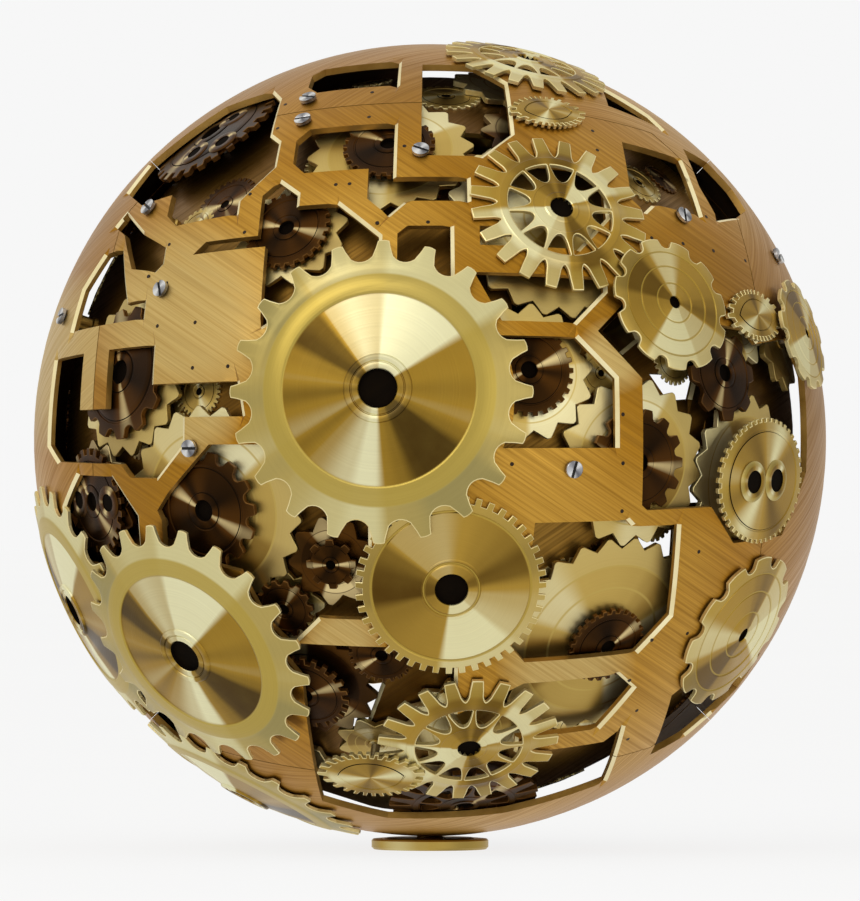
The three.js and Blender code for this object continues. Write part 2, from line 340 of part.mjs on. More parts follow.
// wheels --------------------------------------------------------------------------------
function sprocket(N, tip, root) {
  const out = [], P = 2 * Math.PI / N;
  for (let k = 0; k < N; k++) {
    const c = k * P;
    out.push([tip, c - 0.16 * P], [tip, c + 0.16 * P], [root, c + 0.5 * P]);
  }
  return out;
}
const arborT = Math.asin(ARBOR_R / 97) * 180 / Math.PI;
function faces(spec, hi, lo) { // loops of the main wheel from the centre of its face to the arbor
  const R = spec.r, arb = ring(arborT, 6, lo);
  const plain = (pts, m, n) => [...(m ? [ring(R * m, n, hi)] : []), { pts, r: hi }, { pts, r: lo }, ...(m ? [ring(R * m, n, lo + 0.1)] : []), arb];
  if (spec.kind === 'sprocket') {
    const pts = sprocket(20, R, R * 0.853);
    return [ring(R * 0.14, 10, hi - 0.8), ring(R * 0.147, 10, hi), ring(R * 0.6, 12, hi), { pts, r: hi }, { pts, r: lo }, ring(R * 0.5, 12, lo + 0.15), arb];
  }
  if (spec.kind === 'fine') {
    const pts = starTeeth(spec.n, R, R * 0.92);
    return [ring(R * 0.17, 8, hi - 0.7), ring(R * 0.18, 8, hi), ring(R * 0.55, 12, hi), { pts, r: hi }, { pts, r: lo }, ring(R * 0.55, 12, lo + 0.1), arb];
  }
  if (spec.kind === 'cog') return plain(trapTeeth(11, R, R * 0.87, 0.6, 0.66), 0.5, 10);
  if (spec.kind === 'lobed') return plain(ellipseTeeth(20, R * 0.93, R * 0.72, R * 0.07, 0.5, 0.6), 0.42, 10);
  if (spec.kind === 'lens') return plain(ellipseTeeth(spec.n, R * 0.86, R * spec.f, R * 0.14, 0.5, 0.6), 0, 0);
  if (spec.kind === 'round') return plain(starTeeth(spec.n, R, R * spec.q), R > 7 ? 0.5 : 0, 8);
  if (spec.kind === 'teeth') return plain(trapTeeth(spec.n, R, R * spec.q, 0.36, 0.5), R > 7 ? 0.5 : 0, 8);
  return null;
}
const BAND = { H: HIGH, L: LOW, C: INNER };
const phases = trainPhases();
for (const W of WHEELS) {
  const w = new THREE.Vector3(...W.dir).normalize(), b = basis(w), [lo, hi] = BAND[W.lev];
  const under = [];
  for (const fl of ['D', 'E']) if (W.gears[fl]) {
    const [r, N] = W.gears[fl], [gl, gh] = fl === 'D' ? TRAIN_D : TRAIN_E, pts = starTeeth(N, r + ADD, r - DED, phases[W.name + fl] || 0);
    under.push(ring(arborT, 6, gh), ...(r > 10 ? [ring(r * 0.5, 8, gh)] : []), { pts, r: gh }, { pts, r: gl }, ...(r > 10 ? [ring(r * 0.5, 8, gl + 0.5)] : []), ring(arborT, 6, gl));
  }
  const foot = W.deep ? ARBOR_FOOT : ARBOR_SHORT;
  under.push(ring(arborT, 6, foot));
  const main = faces(W, hi, lo);
  if (main) put(W.name, toManifold(stack(b, [...main, ...under], main[0].r, foot)), W.lev === 'C' ? 'dark' : 'bright');
  else {
    const R = W.r, holes = [], S = W.n, A = 2 * Math.PI / S;
    for (let k = 0; k < S; k++) holes.push(wedge(R * 0.36, R * 0.59, k * A, (k + 1) * A, R * 0.03, R * 0.035));
    const disc = spoked(b, trapTeeth(20, R, R * 0.7, 0.4, 0.46), hi, lo, R * 0.3, 6, holes, hi, lo);
    put(W.name, toManifold(disc).add(toManifold(stack(b, [ring(arborT, 6, lo + 0.5), ...under], lo + 0.5, foot))), W.lev === 'C' ? 'dark' : 'bright');
  }
}

// Tooth phases: at every mesh the two phases, measured from the line of centres, add up to half a pitch.
function trainPhases() {
  const ph = {}, by = Object.fromEntries(WHEELS.map((q) => [q.name, q]));
  const bearing = (from, to) => { const b = basis(new THREE.Vector3(...from).normalize()), t = new THREE.Vector3(...to); return Math.atan2(t.dot(b.v), t.dot(b.u)); };
  for (const [i, j, fl] of MESHES) {
    const a = by[i], c = by[j], Ni = a.gears[fl][1], Nj = c.gears[fl][1];
    const pi = ph[i + fl] ?? (ph[i + fl] = 0);
    const fi = bearing(a.dir, c.dir) * Ni / (2 * Math.PI) - pi;      // phase of the driver at the contact line
    const want = 0.5 - fi;                                            // follower phase at its own contact line
    ph[j + fl] = bearing(c.dir, a.dir) * Nj / (2 * Math.PI) - want;
  }
  return ph;
}

// plates ------------------------------------------------------------------------------
function shell(detail, rOut, rIn) {
  const o = new THREE.IcosahedronGeometry(rOut, detail), i = new THREE.IcosahedronGeometry(rIn, detail);
  for (const g of [o, i]) { g.rotateX(0.31); g.rotateY(0.17); g.translate(C.x, C.y, C.z); }
  return toManifold(o).subtract(toManifold(i));
}
function prism(pts, y0, y1) { // outline in the xz plane, extruded along y
  const s = new THREE.Shape(pts.map(([x, z]) => new THREE.Vector2(x, z)));
  const g = new THREE.ExtrudeGeometry(s, { depth: y1 - y0, bevelEnabled: false });
  g.rotateX(Math.PI / 2); g.translate(0, y1, CENTRE_Z);
  return toManifold(g);
}
const seam = (e, back) => toManifold(wideCutter(e, PLATE[1], back));
let base = shell(4, PLATE[1], PLATE[0] / Math.cos(rad(7.3)));
let frontP = base.intersect(seam(SEAM - SEAM_GAP, false));
let backP = base.intersect(seam(SEAM - SEAM_GAP, true));
const rest = base.subtract(seam(SEAM + SEAM_GAP, false)).subtract(seam(SEAM + SEAM_GAP, true));
const g0 = 0.25;
const wedges = {
  plate_left: prism([[-2 * g0, 0], [-200, 200 - 2 * g0], [-200, -200 + 2 * g0]], -150, 150),
  plate_right: prism([[2 * g0, 0], [200, -200 + 2 * g0], [200, 200 - 2 * g0]], -150, 150),
  plate_top: prism([[0, 2 * g0], [200 - 2 * g0, 200], [-200 + 2 * g0, 200]], -150, 150),
  plate_bottom: prism([[0, -2 * g0], [-200 + 2 * g0, -200], [200 - 2 * g0, -200]], -150, 150),
};
const plates = { plate_front: frontP, plate_back: backP };
for (const [n, w] of Object.entries(wedges)) plates[n] = rest.intersect(w);
let mainF = shell(3, MAIN[1], MAIN[1] - 1.35), mainB = mainF;
mainF = mainF.intersect(prism([[-200, -200], [200, -200], [200, 200], [-200, 200]], -150, -0.2));
mainB = mainB.intersect(prism([[-200, -200], [200, -200], [200, 200], [-200, 200]], 0.2, 150));

for (const back of [false, true]) {
  for (const [name, poly] of Object.entries(WINDOWS)) {
    if (back && !BACK_WINDOWS.includes(name)) continue;
    const c = toManifold(cutter(poly, PLATE[1], back, 84, 128, 24));
    for (const k of Object.keys(plates)) {
      if ((k === 'plate_front' && back) || (k === 'plate_back' && !back)) continue;
      plates[k] = plates[k].subtract(c);
    }
  }
  for (const [name, poly] of Object.entries(SIGHTS)) {
    if (back && !BACK_SIGHTS.includes(name)) continue;
    const c = toManifold(cutter(poly, MAIN[1], back, 70, 110, 30));
    if (back) mainB = mainB.subtract(c); else mainF = mainF.subtract(c);
  }
}
// pillars stand on the mainplates under the long screws
for (const S of SCREWS) {
  const w = new THREE.Vector3(...S.dir).normalize();
  if (S.long) {
    const p = toManifold(rod(w, MAIN[1] - 2.2, PILLAR_TOP, PILLAR_R, 6)).subtract(toManifold(rod(w, 94.4, PILLAR_TOP + 1, PILLAR_BORE, 4)));
    if (w.y < 0) mainF = mainF.add(p); else mainB = mainB.add(p);
  }
  const hole = toManifold(rod(w, 98, 104, SCREW_HOLE, 4));
  for (const k of Object.keys(plates)) plates[k] = plates[k].subtract(hole);
}
for (const W of WHEELS) {
  const w = new THREE.Vector3(...W.dir).normalize();
  if (W.lev !== 'C') {
    const hole = toManifold(rod(w, 98, 104, PLATE_HOLE, 4));
    for (const k of Object.keys(plates)) plates[k] = plates[k].subtract(hole);
  }
  if (!W.deep) continue;
  const h2 = toManifold(rod(w, 88, 95, MAIN_HOLE, 4));
  if (w.y < 0.1) mainF = mainF.subtract(h2);
  if (w.y > -0.1) mainB = mainB.subtract(h2);
}
const stemHole = toManifold(rod(new THREE.Vector3(0, 0, -1), 97, 104, STEM_R + 0.7, 10));
for (const k of Object.keys(plates)) plates[k] = plates[k].subtract(stemHole);
for (const [n, m] of Object.entries(plates)) put(n, m, 'plate');
put('mainplate_front', mainF, 'main');
put('mainplate_back', mainB, 'main');

// slotted cheese-head screws
for (const S of SCREWS) {
  const w = new THREE.Vector3(...S.dir).normalize(), b = basis(w);
  const r0 = PLATE[1] + 0.3, r1 = r0 + SCREW_HEAD_H;
  let head = toManifold(rod(w, r0, r1, SCREW_HEAD_R, 8)).add(toManifold(rod(w, S.long ? 95.0 : PLATE[0] + 0.25, r0 + 0.3, SCREW_SHANK_R, 6)));
  const slot = new THREE.BoxGeometry(SLOT_W, 2 * SLOT_D, 3 * SCREW_HEAD_R);
  const q = new THREE.Quaternion().setFromUnitVectors(new THREE.Vector3(0, 1, 0), w);
  slot.rotateY(rad(S.slot)); slot.applyQuaternion(q);
  slot.translate(...C.clone().addScaledVector(w, r1).toArray());
  head = head.subtract(toManifold(slot));
  put(S.name, head, 'steel');
}

// foot: disc with a flat face and a stem through the bottom plate
{
  const pts = [[0, 0], [FOOT_R - 0.6, 0], [FOOT_R, 0.6], [FOOT_R, CENTRE_Z - FOOT_TOP], [STEM_R, CENTRE_Z - FOOT_TOP], [STEM_R, CENTRE_Z - STEM_TOP], [0, CENTRE_Z - STEM_TOP]];
  const g = new THREE.LatheGeometry(pts.map(([x, y]) => new THREE.Vector2(x, y)), 20);
  g.rotateX(Math.PI / 2);
  put('foot', toManifold(g), 'foot');
}
export default group;
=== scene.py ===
# Looks of the clockwork globe: lathe-cut and brushed brass with painted highlights, dark inner wheels, steel screws,
# painted shade in bores, grooves and slots.
import math

import bpy
import numpy as np
from mathutils import Matrix, Vector
from mathutils.geometry import delaunay_2d_cdt


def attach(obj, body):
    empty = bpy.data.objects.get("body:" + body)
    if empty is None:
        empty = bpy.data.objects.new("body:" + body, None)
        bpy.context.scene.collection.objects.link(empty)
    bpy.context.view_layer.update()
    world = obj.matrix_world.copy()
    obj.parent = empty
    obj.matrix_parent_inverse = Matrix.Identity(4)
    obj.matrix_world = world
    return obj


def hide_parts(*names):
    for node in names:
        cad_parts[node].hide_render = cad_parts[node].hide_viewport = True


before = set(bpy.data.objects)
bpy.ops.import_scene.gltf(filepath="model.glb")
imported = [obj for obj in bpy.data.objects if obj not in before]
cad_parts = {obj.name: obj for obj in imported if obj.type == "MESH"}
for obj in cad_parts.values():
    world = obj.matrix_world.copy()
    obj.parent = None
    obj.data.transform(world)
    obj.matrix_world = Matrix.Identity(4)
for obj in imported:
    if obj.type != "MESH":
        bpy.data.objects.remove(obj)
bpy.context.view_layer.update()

# ---- dimensions, millimetres and degrees, as in the CAD ---------------------------------
CZ = 105.0
CHART_R = 103.0
VIEW_D = 3000.0
HIGH = (103.8, 105.0)
LOW = (102.1, 103.3)
PLATE = (99.95, 101.65)
INNER = (98.0, 99.5)
TRAIN = {"D": (95.9, 97.4), "E": (93.8, 95.3)}
MAIN = (91.85, 93.2)
ARBOR_R = 1.15
ADD, DED = 0.6, 1.0
SEAM = 57.3
CORNER = 16.0
GAP = 0.08
PLATE_HOLE, MAIN_HOLE = 1.9, 1.9
WHEELS = [  # name, floor, kind, radius in degrees, teeth, shape, carried by a mainplate, axis, hidden gears
    ('great_wheel_1', 'H', 'sprocket', 21.377, 0, 0.0, False, (-0.1240171, -0.9847065, 0.1223636), {'D': (11.937, 17)}),
    ('great_wheel_2', 'H', 'sprocket', 19.389, 0, 0.0, False, (-0.5871247, -0.6224923, -0.5174823), {'E': (7.77339, 11)}),
    ('great_wheel_3', 'L', 'sprocket', 18.271, 0, 0.0, False, (-0.8808302, -0.2183922, -0.4200511), {'D': (13.36595, 19)}),
    ('great_wheel_4', 'L', 'sprocket', 17.465, 0, 0.0, False, (-0.4594588, -0.0909999, -0.8835251), {'E': (23.93917, 33)}),
    ('fine_tooth_wheel', 'L', 'fine', 13.428, 20, 0.0, False, (0.0518265, -0.9312081, -0.3607846), {'D': (11.2254, 16)}),
    ('paddle_wheel_1', 'L', 'paddle', 13.074, 6, 0.0, True, (0.3192182, -0.7618579, 0.5636242), {'D': (15.52568, 22), 'E': (11.39785, 16)}),
    ('paddle_wheel_2', 'L', 'paddle', 12.841, 6, 0.0, True, (0.0952114, -0.6537331, -0.7507115), {'D': (8.3953, 12), 'E': (9.19804, 13)}),
    ('paddle_wheel_4', 'L', 'paddle', 11.811, 6, 0.0, False, (0.2420832, -0.2299492, 0.9426129), {'E': (9.95752, 14)}),
    ('paddle_wheel_3', 'C', 'paddle', 11.056, 6, 0.0, True, (0.087415, -0.347621, -0.9335514), {'E': (11.34611, 16)}),
    ('cog_wheel_1', 'H', 'cog', 9.597, 0, 0.0, False, (0.5829771, -0.7434788, 0.3276843), {'D': (4.88567, 7)}),
    ('cog_wheel_2', 'L', 'cog', 11.967, 0, 0.0, True, (0.7673943, -0.4273558, -0.4779884), {'D': (9.10062, 13)}),
    ('twin_eye_wheel', 'L', 'lobed', 11.094, 0, 0.0, True, (0.8212197, -0.5616384, -0.1007994), {'D': (11.937, 17)}),
    ('lens_cam_1', 'L', 'lens', 6.1, 12, 0.56, True, (0.2894109, -0.5166337, 0.8058107), {'E': (8.52352, 12)}),
    ('lens_cam_2', 'L', 'lens', 7.162, 12, 0.38, True, (0.7998393, -0.516612, 0.3055638), {'D': (6.28658, 9)}),
    ('lens_cam_3', 'H', 'lens', 7.698, 12, 0.62, True, (-0.142724, -0.5712126, -0.8082982), {'E': (5.64518, 8)}),
    ('cog_wheel_3', 'H', 'cog', 7.917, 0, 0.0, False, (0.9115202, -0.3197081, 0.2586844), {'D': (6.98839, 10)}),
    ('inner_wheel_1', 'C', 'round', 6.629, 18, 0.91, True, (-0.3615259, -0.7643549, 0.5339107), {'D': (8.3953, 12)}),
    ('inner_wheel_2', 'C', 'teeth', 8.606, 14, 0.84, True, (-0.5691883, -0.8026115, -0.1784359), {'D': (14.80342, 21)}),
    ('inner_wheel_3', 'C', 'round', 7.771, 16, 0.88, True, (-0.8589358, -0.4876398, -0.1563224), {'D': (8.3953, 12)}),
    ('inner_wheel_4', 'C', 'teeth', 9.884, 13, 0.85, True, (-0.7861105, -0.5935395, 0.1724563), {'D': (11.937, 17)}),
    ('inner_wheel_5', 'C', 'round', 10.377, 16, 0.88, True, (-0.5581411, -0.2544456, 0.7897696), {}),
    ('inner_wheel_6', 'C', 'teeth', 7.055, 8, 0.78, True, (0.745504, -0.644633, 0.1693284), {'D': (4.88567, 7)}),
    ('inner_wheel_7', 'C', 'round', 6.106, 18, 0.91, True, (0.4484129, -0.7255296, -0.5220466), {'D': (16.25048, 23)}),
    ('inner_wheel_8', 'C', 'round', 6.747, 18, 0.91, True, (0.2481243, -0.9527446, 0.1752486), {'D': (9.80733, 14)}),
    ('inner_wheel_9', 'C', 'teeth', 3.747, 8, 0.62, True, (-0.2485188, -0.9166207, -0.3131213), {'D': (6.28658, 9)}),
    ('inner_wheel_10', 'C', 'teeth', 4.469, 14, 0.84, True, (-0.3671871, -0.8269717, -0.4257834), {'E': (4.93765, 7)}),
    ('inner_wheel_11', 'C', 'round', 4.859, 16, 0.88, True, (-0.1216653, -0.8321721, -0.5410057), {'E': (4.93765, 7)}),
    ('inner_wheel_12', 'C', 'round', 6.646, 15, 0.86, True, (-0.3166996, -0.696964, -0.6433836), {'E': (9.91246, 14)}),
    ('inner_wheel_13', 'C', 'teeth', 7.799, 14, 0.82, True, (0.5262614, -0.848393, -0.0572554), {'D': (11.937, 17)}),
    ('inner_wheel_14', 'C', 'round', 6.784, 18, 0.91, True, (-0.1043081, -0.6541754, 0.7491157), {'D': (11.937, 17)}),
    ('great_wheel_5', 'H', 'sprocket', 21.377, 0, 0.0, False, (-0.1240171, 0.9847065, 0.1223636), {'D': (14.96459, 21)}),
    ('great_wheel_6', 'H', 'sprocket', 17.872, 0, 0.0, False, (-0.5905367, 0.6205391, -0.5159433), {'E': (23.93917, 33)}),
    ('paddle_wheel_5', 'L', 'paddle', 13.075, 6, 0.0, True, (0.3194672, 0.7602202, 0.5656907), {'D': (23.93986, 33)}),
]
MESHES = [('great_wheel_1', 'inner_wheel_8', 'D'), ('inner_wheel_8', 'paddle_wheel_1', 'D'), ('paddle_wheel_1', 'cog_wheel_1', 'D'), ('inner_wheel_8', 'inner_wheel_13', 'D'), ('inner_wheel_13', 'twin_eye_wheel', 'D'), ('twin_eye_wheel', 'inner_wheel_6', 'D'), ('inner_wheel_13', 'inner_wheel_7', 'D'), ('inner_wheel_6', 'lens_cam_2', 'D'), ('lens_cam_2', 'cog_wheel_3', 'D'), ('paddle_wheel_1', 'inner_wheel_14', 'D'), ('inner_wheel_14', 'inner_wheel_1', 'D'), ('inner_wheel_7', 'paddle_wheel_2', 'D'), ('paddle_wheel_1', 'lens_cam_1', 'E'), ('paddle_wheel_2', 'lens_cam_3', 'E'), ('lens_cam_1', 'paddle_wheel_4', 'E'), ('inner_wheel_7', 'fine_tooth_wheel', 'D'), ('fine_tooth_wheel', 'inner_wheel_9', 'D'), ('inner_wheel_7', 'cog_wheel_2', 'D'), ('lens_cam_3', 'inner_wheel_12', 'E'), ('paddle_wheel_2', 'paddle_wheel_3', 'E'), ('inner_wheel_12', 'inner_wheel_10', 'E'), ('inner_wheel_12', 'inner_wheel_11', 'E'), ('inner_wheel_9', 'inner_wheel_2', 'D'), ('inner_wheel_2', 'inner_wheel_4', 'D'), ('inner_wheel_4', 'inner_wheel_3', 'D'), ('inner_wheel_12', 'great_wheel_2', 'E'), ('inner_wheel_3', 'great_wheel_3', 'D'), ('paddle_wheel_3', 'great_wheel_4', 'E'), ('paddle_wheel_5', 'great_wheel_5', 'D'), ('great_wheel_4', 'great_wheel_6', 'E')]
SCREWS = [
    ('screw_1', (0.349882, -0.934024, -0.071985), 75.0, False),
    ('screw_2', (-0.587834, -0.808712, -0.020879), 0.0, False),
    ('screw_3', (-0.661158, -0.652178, 0.370856), -60.0, False),
    ('screw_4', (-0.301679, -0.442122, 0.8447), -8.0, True),
    ('screw_5', (-0.313389, -0.528046, 0.789275), 12.0, False),
    ('screw_6', (-0.696561, -0.429005, 0.575116), -20.0, True),
    ('screw_7', (-0.023222, -0.703214, 0.710599), -25.0, False),
    ('screw_8', (0.624937, -0.550817, 0.553222), 65.0, True),
    ('screw_10', (0.867727, -0.191403, 0.45871), 20.0, True),
    ('screw_11', (-0.915932, -0.257397, 0.30792), 10.0, True),
    ('screw_12', (0.349882, 0.934024, -0.071985), 75.0, True),
    ('screw_14', (0.624937, 0.550817, 0.553222), 65.0, False),
]
WINDOWS = {
    'w2': [[-20.2, 52.3], [-5.8, 52.3], [-5.8, 41], [5.8, 41], [5.8, 36.6], [-4, 36.6], [-6.5, 34.2], [-9.7, 37.2], [-9.7, 42.8], [-20.2, 42.8], [-22.3, 45], [-22.3, 50]],
    'w2m': [[-20.2, 62.3], [-5.8, 62.3], [-5.8, 71], [-20.2, 71], [-22.3, 69], [-22.3, 64.6]],
    'w3': [[-1.4, 45.2], [8, 45.2], [13.4, 50.5], [13.4, 64.1], [8, 69.4], [-1.4, 69.4]],
    'w4': [[-4.9, 31], [-3.4, 32.3], [3.1, 32.3], [3.1, 24], [-4.9, 24.5]],
    'w5': [[-26.9, 39.2], [-24.3, 41.6], [-21, 38.8], [-21, 36.6], [-14.4, 36.6], [-7.7, 30.6], [-7.7, 25.5], [-14, 24], [-25.5, 17], [-25.5, 29.9], [-38.3, 29.9], [-36.1, 31.9], [-26.9, 31.9]],
    'w6': [[-25.6, 50.2], [-27.6, 52.3], [-27.6, 62.3], [-30, 66], [-40, 65.5], [-56, 55], [-59.5, 48.5], [-52.6, 42.8], [-45.3, 43], [-45.2, 38.5], [-42.7, 36], [-31.3, 36.3], [-31.3, 39], [-25.7, 45]],
    'w7': [[-58.8, 39.7], [-56.5, 42], [-50.3, 36.1], [-44.5, 32.4], [-44.5, 29.3], [-46, 28], [-51.2, 29.3], [-55.2, 37]],
    'w8': [[-59.6, 34], [-55, 34], [-51.3, 23], [-47.2, 23.2], [-47.2, 19.8], [-66, 19.8], [-64.5, 28]],
    'w10': [[-54.1, 15.2], [-44.4, 15.2], [-44.4, 8.8], [-29, 8.8], [-28, 3.5], [-38.3, 3.5], [-38.3, -0.7], [-43.3, -6.1], [-48.5, -6.1], [-50.5, -4], [-68, -4], [-72, -1], [-71, 15.2], [-60.9, 15.2], [-60.9, 5.2], [-54.1, 5.2]],
    'w11': [[-53, -6.1], [-50.8, -8.6], [-47.6, -12.4], [-47.6, -22], [-67, -22], [-67, -12.4], [-63.8, -8.6], [-61.6, -6.1]],
    'w12': [[-43.2, -11.2], [-41, -8.3], [-33.5, -0.7], [-24.5, -0.7], [-16, -10], [-9, -12], [-9, -26.8], [-16.8, -26.8], [-21.5, -31.6], [-25, -28], [-29, -20], [-42.4, -17.5], [-42.4, -12.8]],
    'w14': [[-22.5, -34], [-20.5, -31.2], [-6, -31.2], [3.7, -34], [3.8, -43.5], [14.6, -37.9], [30.2, -37.8], [33.6, -41.1], [28.3, -48.7], [14, -48.7], [14, -52.1], [30, -52.2], [33.2, -49.4], [33.2, -65.2], [14, -70], [-8, -71], [-20, -67], [-20, -37.5]],
    'w17': [[15.3, -12.1], [29.7, -12.1], [30.7, -13.1], [38.7, -13.2], [38.7, -28.3], [33.1, -34.1], [14.5, -34.1], [12.3, -31.5], [13.5, -27], [14.5, -20]],
    'w18': [[9.5, 15.2], [21.6, 15.2], [27.7, 9.2], [27.7, -1.2], [10.5, -1.2], [12, 3], [12.3, 8], [11.5, 12]],
    'w19': [[6.5, 24.8], [26.5, 24.8], [26.5, 22.6], [21.4, 17.4], [10.5, 17.4]],
    'w20': [[7.5, 29.2], [7.5, 32.4], [10.3, 32.4], [12.5, 42], [16, 44.5], [24, 44.5], [28.1, 41], [28.1, 35.3], [22.6, 29.2]],
    'w21': [[25.1, 16.3], [30, 21.3], [36, 17.5], [46, 18.8], [53.7, 18.8], [56, 16.5], [66, 18.8], [70, 12], [70, -6], [63, -17.1], [50.2, -17.1], [44.9, -10.7], [33, -10.7], [32.1, -9.9], [32.1, 9.3]],
    'w22': [[33.6, 52.2], [46.2, 51.9], [47.1, 38.9], [37, 39.2], [35.2, 37.4], [33, 39.6]],
    'w22m': [[33.3, 62.4], [45.3, 60.2], [43, 64], [34, 70]],
    'w24': [[48.6, 56], [48.9, 46], [51.4, 39.3], [58, 42], [62, 45], [60, 50], [55, 55]],
    'w26': [[42.1, -44.5], [45, -42.5], [56, -42], [66, -42.5], [62, -50], [56, -54], [50, -58], [42, -60]],
    'w27': [[-60, -46], [-56, -45.5], [-50, -49], [-46.5, -52.5], [-46.5, -60], [-52, -59], [-58, -53]],
}
SIGHTS = {
    's4': [[4.2, 45.6], [8, 45.6], [12.4, 49.8], [4.2, 50.2]],
    's7': [[25.8, 16.4], [29.6, 20], [31.4, 15.4], [28.6, 13.2]],
    's8': [[12, 18.2], [21.8, 18.2], [25.4, 24.4], [12, 24.4]],
    's9': [[33.2, 10.2], [41.6, 10.2], [40.4, 6.4], [36.4, 6]],
    's10': [[39.6, -10], [44, -10], [42.6, -1], [40, -1.6]],
    's11': [[31.4, -14], [38, -14], [38, -19.2], [33, -19]],
    's12': [[-12.8, -37.4], [-7.4, -37.6], [-11, -48], [-13.6, -49]],
}
BACK_WINDOWS = ['w3', 'w8', 'w14', 'w17', 'w19', 'w21']
BACK_SIGHTS = ['s4', 's7', 's8', 's9', 's10', 's11', 's12']

C0 = np.array([0.0, 0.0, CZ])
BAND = {"H": HIGH, "L": LOW, "C": INNER}
DEG = math.pi / 180


# ---- projection -----------------------------------------------------------------------
def place(X, Y, r, back=False):
    """Chart point to unit direction, as in the CAD."""
    rho = np.radians(np.hypot(X, Y))
    S = CHART_R * np.sin(rho)
    sg = -1.0 if back else 1.0
    q = rho + 0
    for _ in range(60):
        v = np.minimum(S * (1 - sg * (r / VIEW_D) * np.cos(q)) / r, 0.99995)
        q = np.arcsin(v)
        q = np.where(rho > np.pi / 2, np.pi - q, q)
    a = np.arctan2(Y, X)
    return np.stack([np.sin(q) * np.cos(a), (1 if back else -1) * np.cos(q), np.sin(q) * np.sin(a)], -1)


def to_q(P, r, back=False):
    """Chart points (n, 2) to the plane of true angle from the pole."""
    P = np.asarray(P, float).reshape(-1, 2)
    d = place(P[:, 0], P[:, 1], r, back)
    q = np.degrees(np.arccos(np.clip(d[:, 1] * (1 if back else -1), -1, 1)))
    a = np.arctan2(P[:, 1], P[:, 0])
    return np.stack([q * np.cos(a), q * np.sin(a)], -1)


def dir_q(P, back=False):
    P = np.asarray(P, float).reshape(-1, 2)
    q = np.radians(np.hypot(P[:, 0], P[:, 1]))
    a = np.arctan2(P[:, 1], P[:, 0])
    return np.stack([np.sin(q) * np.cos(a), (1 if back else -1) * np.cos(q), np.sin(q) * np.sin(a)], -1)


def basis(w):
    w = np.asarray(w, float)
    w = w / np.linalg.norm(w)
    u = np.cross([0, 0, 1.0], w)
    u /= np.linalg.norm(u)
    return u, np.cross(w, u), w


def local_matrix(w, r):
    """Object frame of a wheel: z outward along its axis, origin on the axis at radius r."""
    u, v, w = basis(w)
    o = (C0 + w * r) * 0.001
    return Matrix(((u[0], v[0], w[0], o[0]), (u[1], v[1], w[1], o[1]), (u[2], v[2], w[2], o[2]), (0, 0, 0, 1)))


# ---- mesh plumbing ----------------------------------------------------------------------
class Build:
    """Collects points (mm) and faces with a material index."""

    def __init__(self):
        self.v, self.f, self.m, self.n = [], [], [], 0

    def add(self, pts, faces, mat=0):
        pts = np.asarray(pts, float).reshape(-1, 3)
        self.v.append(pts)
        for k, f in enumerate(faces):
            self.f.append(tuple(int(i) + self.n for i in f))
            self.m.append(mat if isinstance(mat, int) else int(mat[k]))
        self.n += len(pts)

    def make(self, name, mats, matrix=None, smooth=32):
        me = bpy.data.meshes.new(name)
        V = np.concatenate(self.v) * 0.001
        if matrix is not None:
            A = np.array(matrix)
            V = V @ A[:3, :3].T + A[:3, 3]
        me.from_pydata([tuple(p) for p in V], [], self.f)
        me.polygons.foreach_set("material_index", self.m)
        me.validate()
        for m in mats:
            me.materials.append(m)
        me.polygons.foreach_set("use_smooth", [True] * len(me.polygons))
        me.set_sharp_from_angle(angle=math.radians(smooth))
        me.update()
        ob = bpy.data.objects.new(name, me)
        bpy.context.scene.collection.objects.link(ob)
        return ob


def band(a, b, n):
    """Quads between two loops of n points that start at a and b; the first loop is the upper or inner one."""
    return [(a + k, b + k, b + (k + 1) % n, a + (k + 1) % n) for k in range(n)]


def offset_loop(P, d, limit=2.5):
    """Moves a counter-clockwise loop inwards by d."""
    P = np.asarray(P, float)
    e = np.roll(P, -1, 0) - P
    e /= np.maximum(np.linalg.norm(e, axis=1, keepdims=True), 1e-9)
    n = np.stack([-e[:, 1], e[:, 0]], -1)
    n0 = np.roll(n, 1, 0)
    b = n + n0
    L = (b * b).sum(1, keepdims=True) / 2
    return P + b / np.maximum(L, 1 / limit) * d


def polar(out):
    out = np.asarray(out, float)
    return np.stack([out[:, 0] * np.cos(out[:, 1]), out[:, 0] * np.sin(out[:, 1])], -1)


def dome(P, r, r_org):
    """Local plane (degrees) to local mm on the sphere of radius r, measured from the point at radius r_org on the axis."""
    P = np.asarray(P, float)
    t = np.radians(np.hypot(P[:, 0], P[:, 1]))
    a = np.arctan2(P[:, 1], P[:, 0])
    return np.stack([r * np.sin(t) * np.cos(a), r * np.sin(t) * np.sin(a), r * np.cos(t) - r_org], -1)


# ---- tooth outlines (degrees, radians) ----------------------------------------------------
def teeth(N, tip, root, tw=0.3, rw=0.55, steps=4, phase=0.0, curve=0.0, bottom="flat", shape=None):
    """Flat or slightly crowned tips, flanks, and flat or round gullets."""
    out, P = [], 2 * math.pi / N
    for k in range(N):
        c = (k + phase) * P
        for s in np.linspace(-1, 1, steps):
            out.append((tip - curve * s * s, c + s * tw * P / 2))
        if bottom == "flat":
            for s in np.linspace(0, 1, steps):
                out.append((root, c + rw * P / 2 + s * (1 - rw) * P))
        else:
            g0, g1 = rw * P / 2, P - rw * P / 2
            for s in np.linspace(0, 1, steps + 5):
                x = 2 * s - 1
                depth = math.sqrt(max(0.0, 1 - x * x))
                out.append((tip - (tip - root) * (0.35 + 0.65 * depth) if 0 < s < 1 else tip - (tip - root) * 0.35, c + g0 + s * (g1 - g0)))
    if shape:
        out = [(t * shape(a), a) for t, a in out]
    return np.array(out)


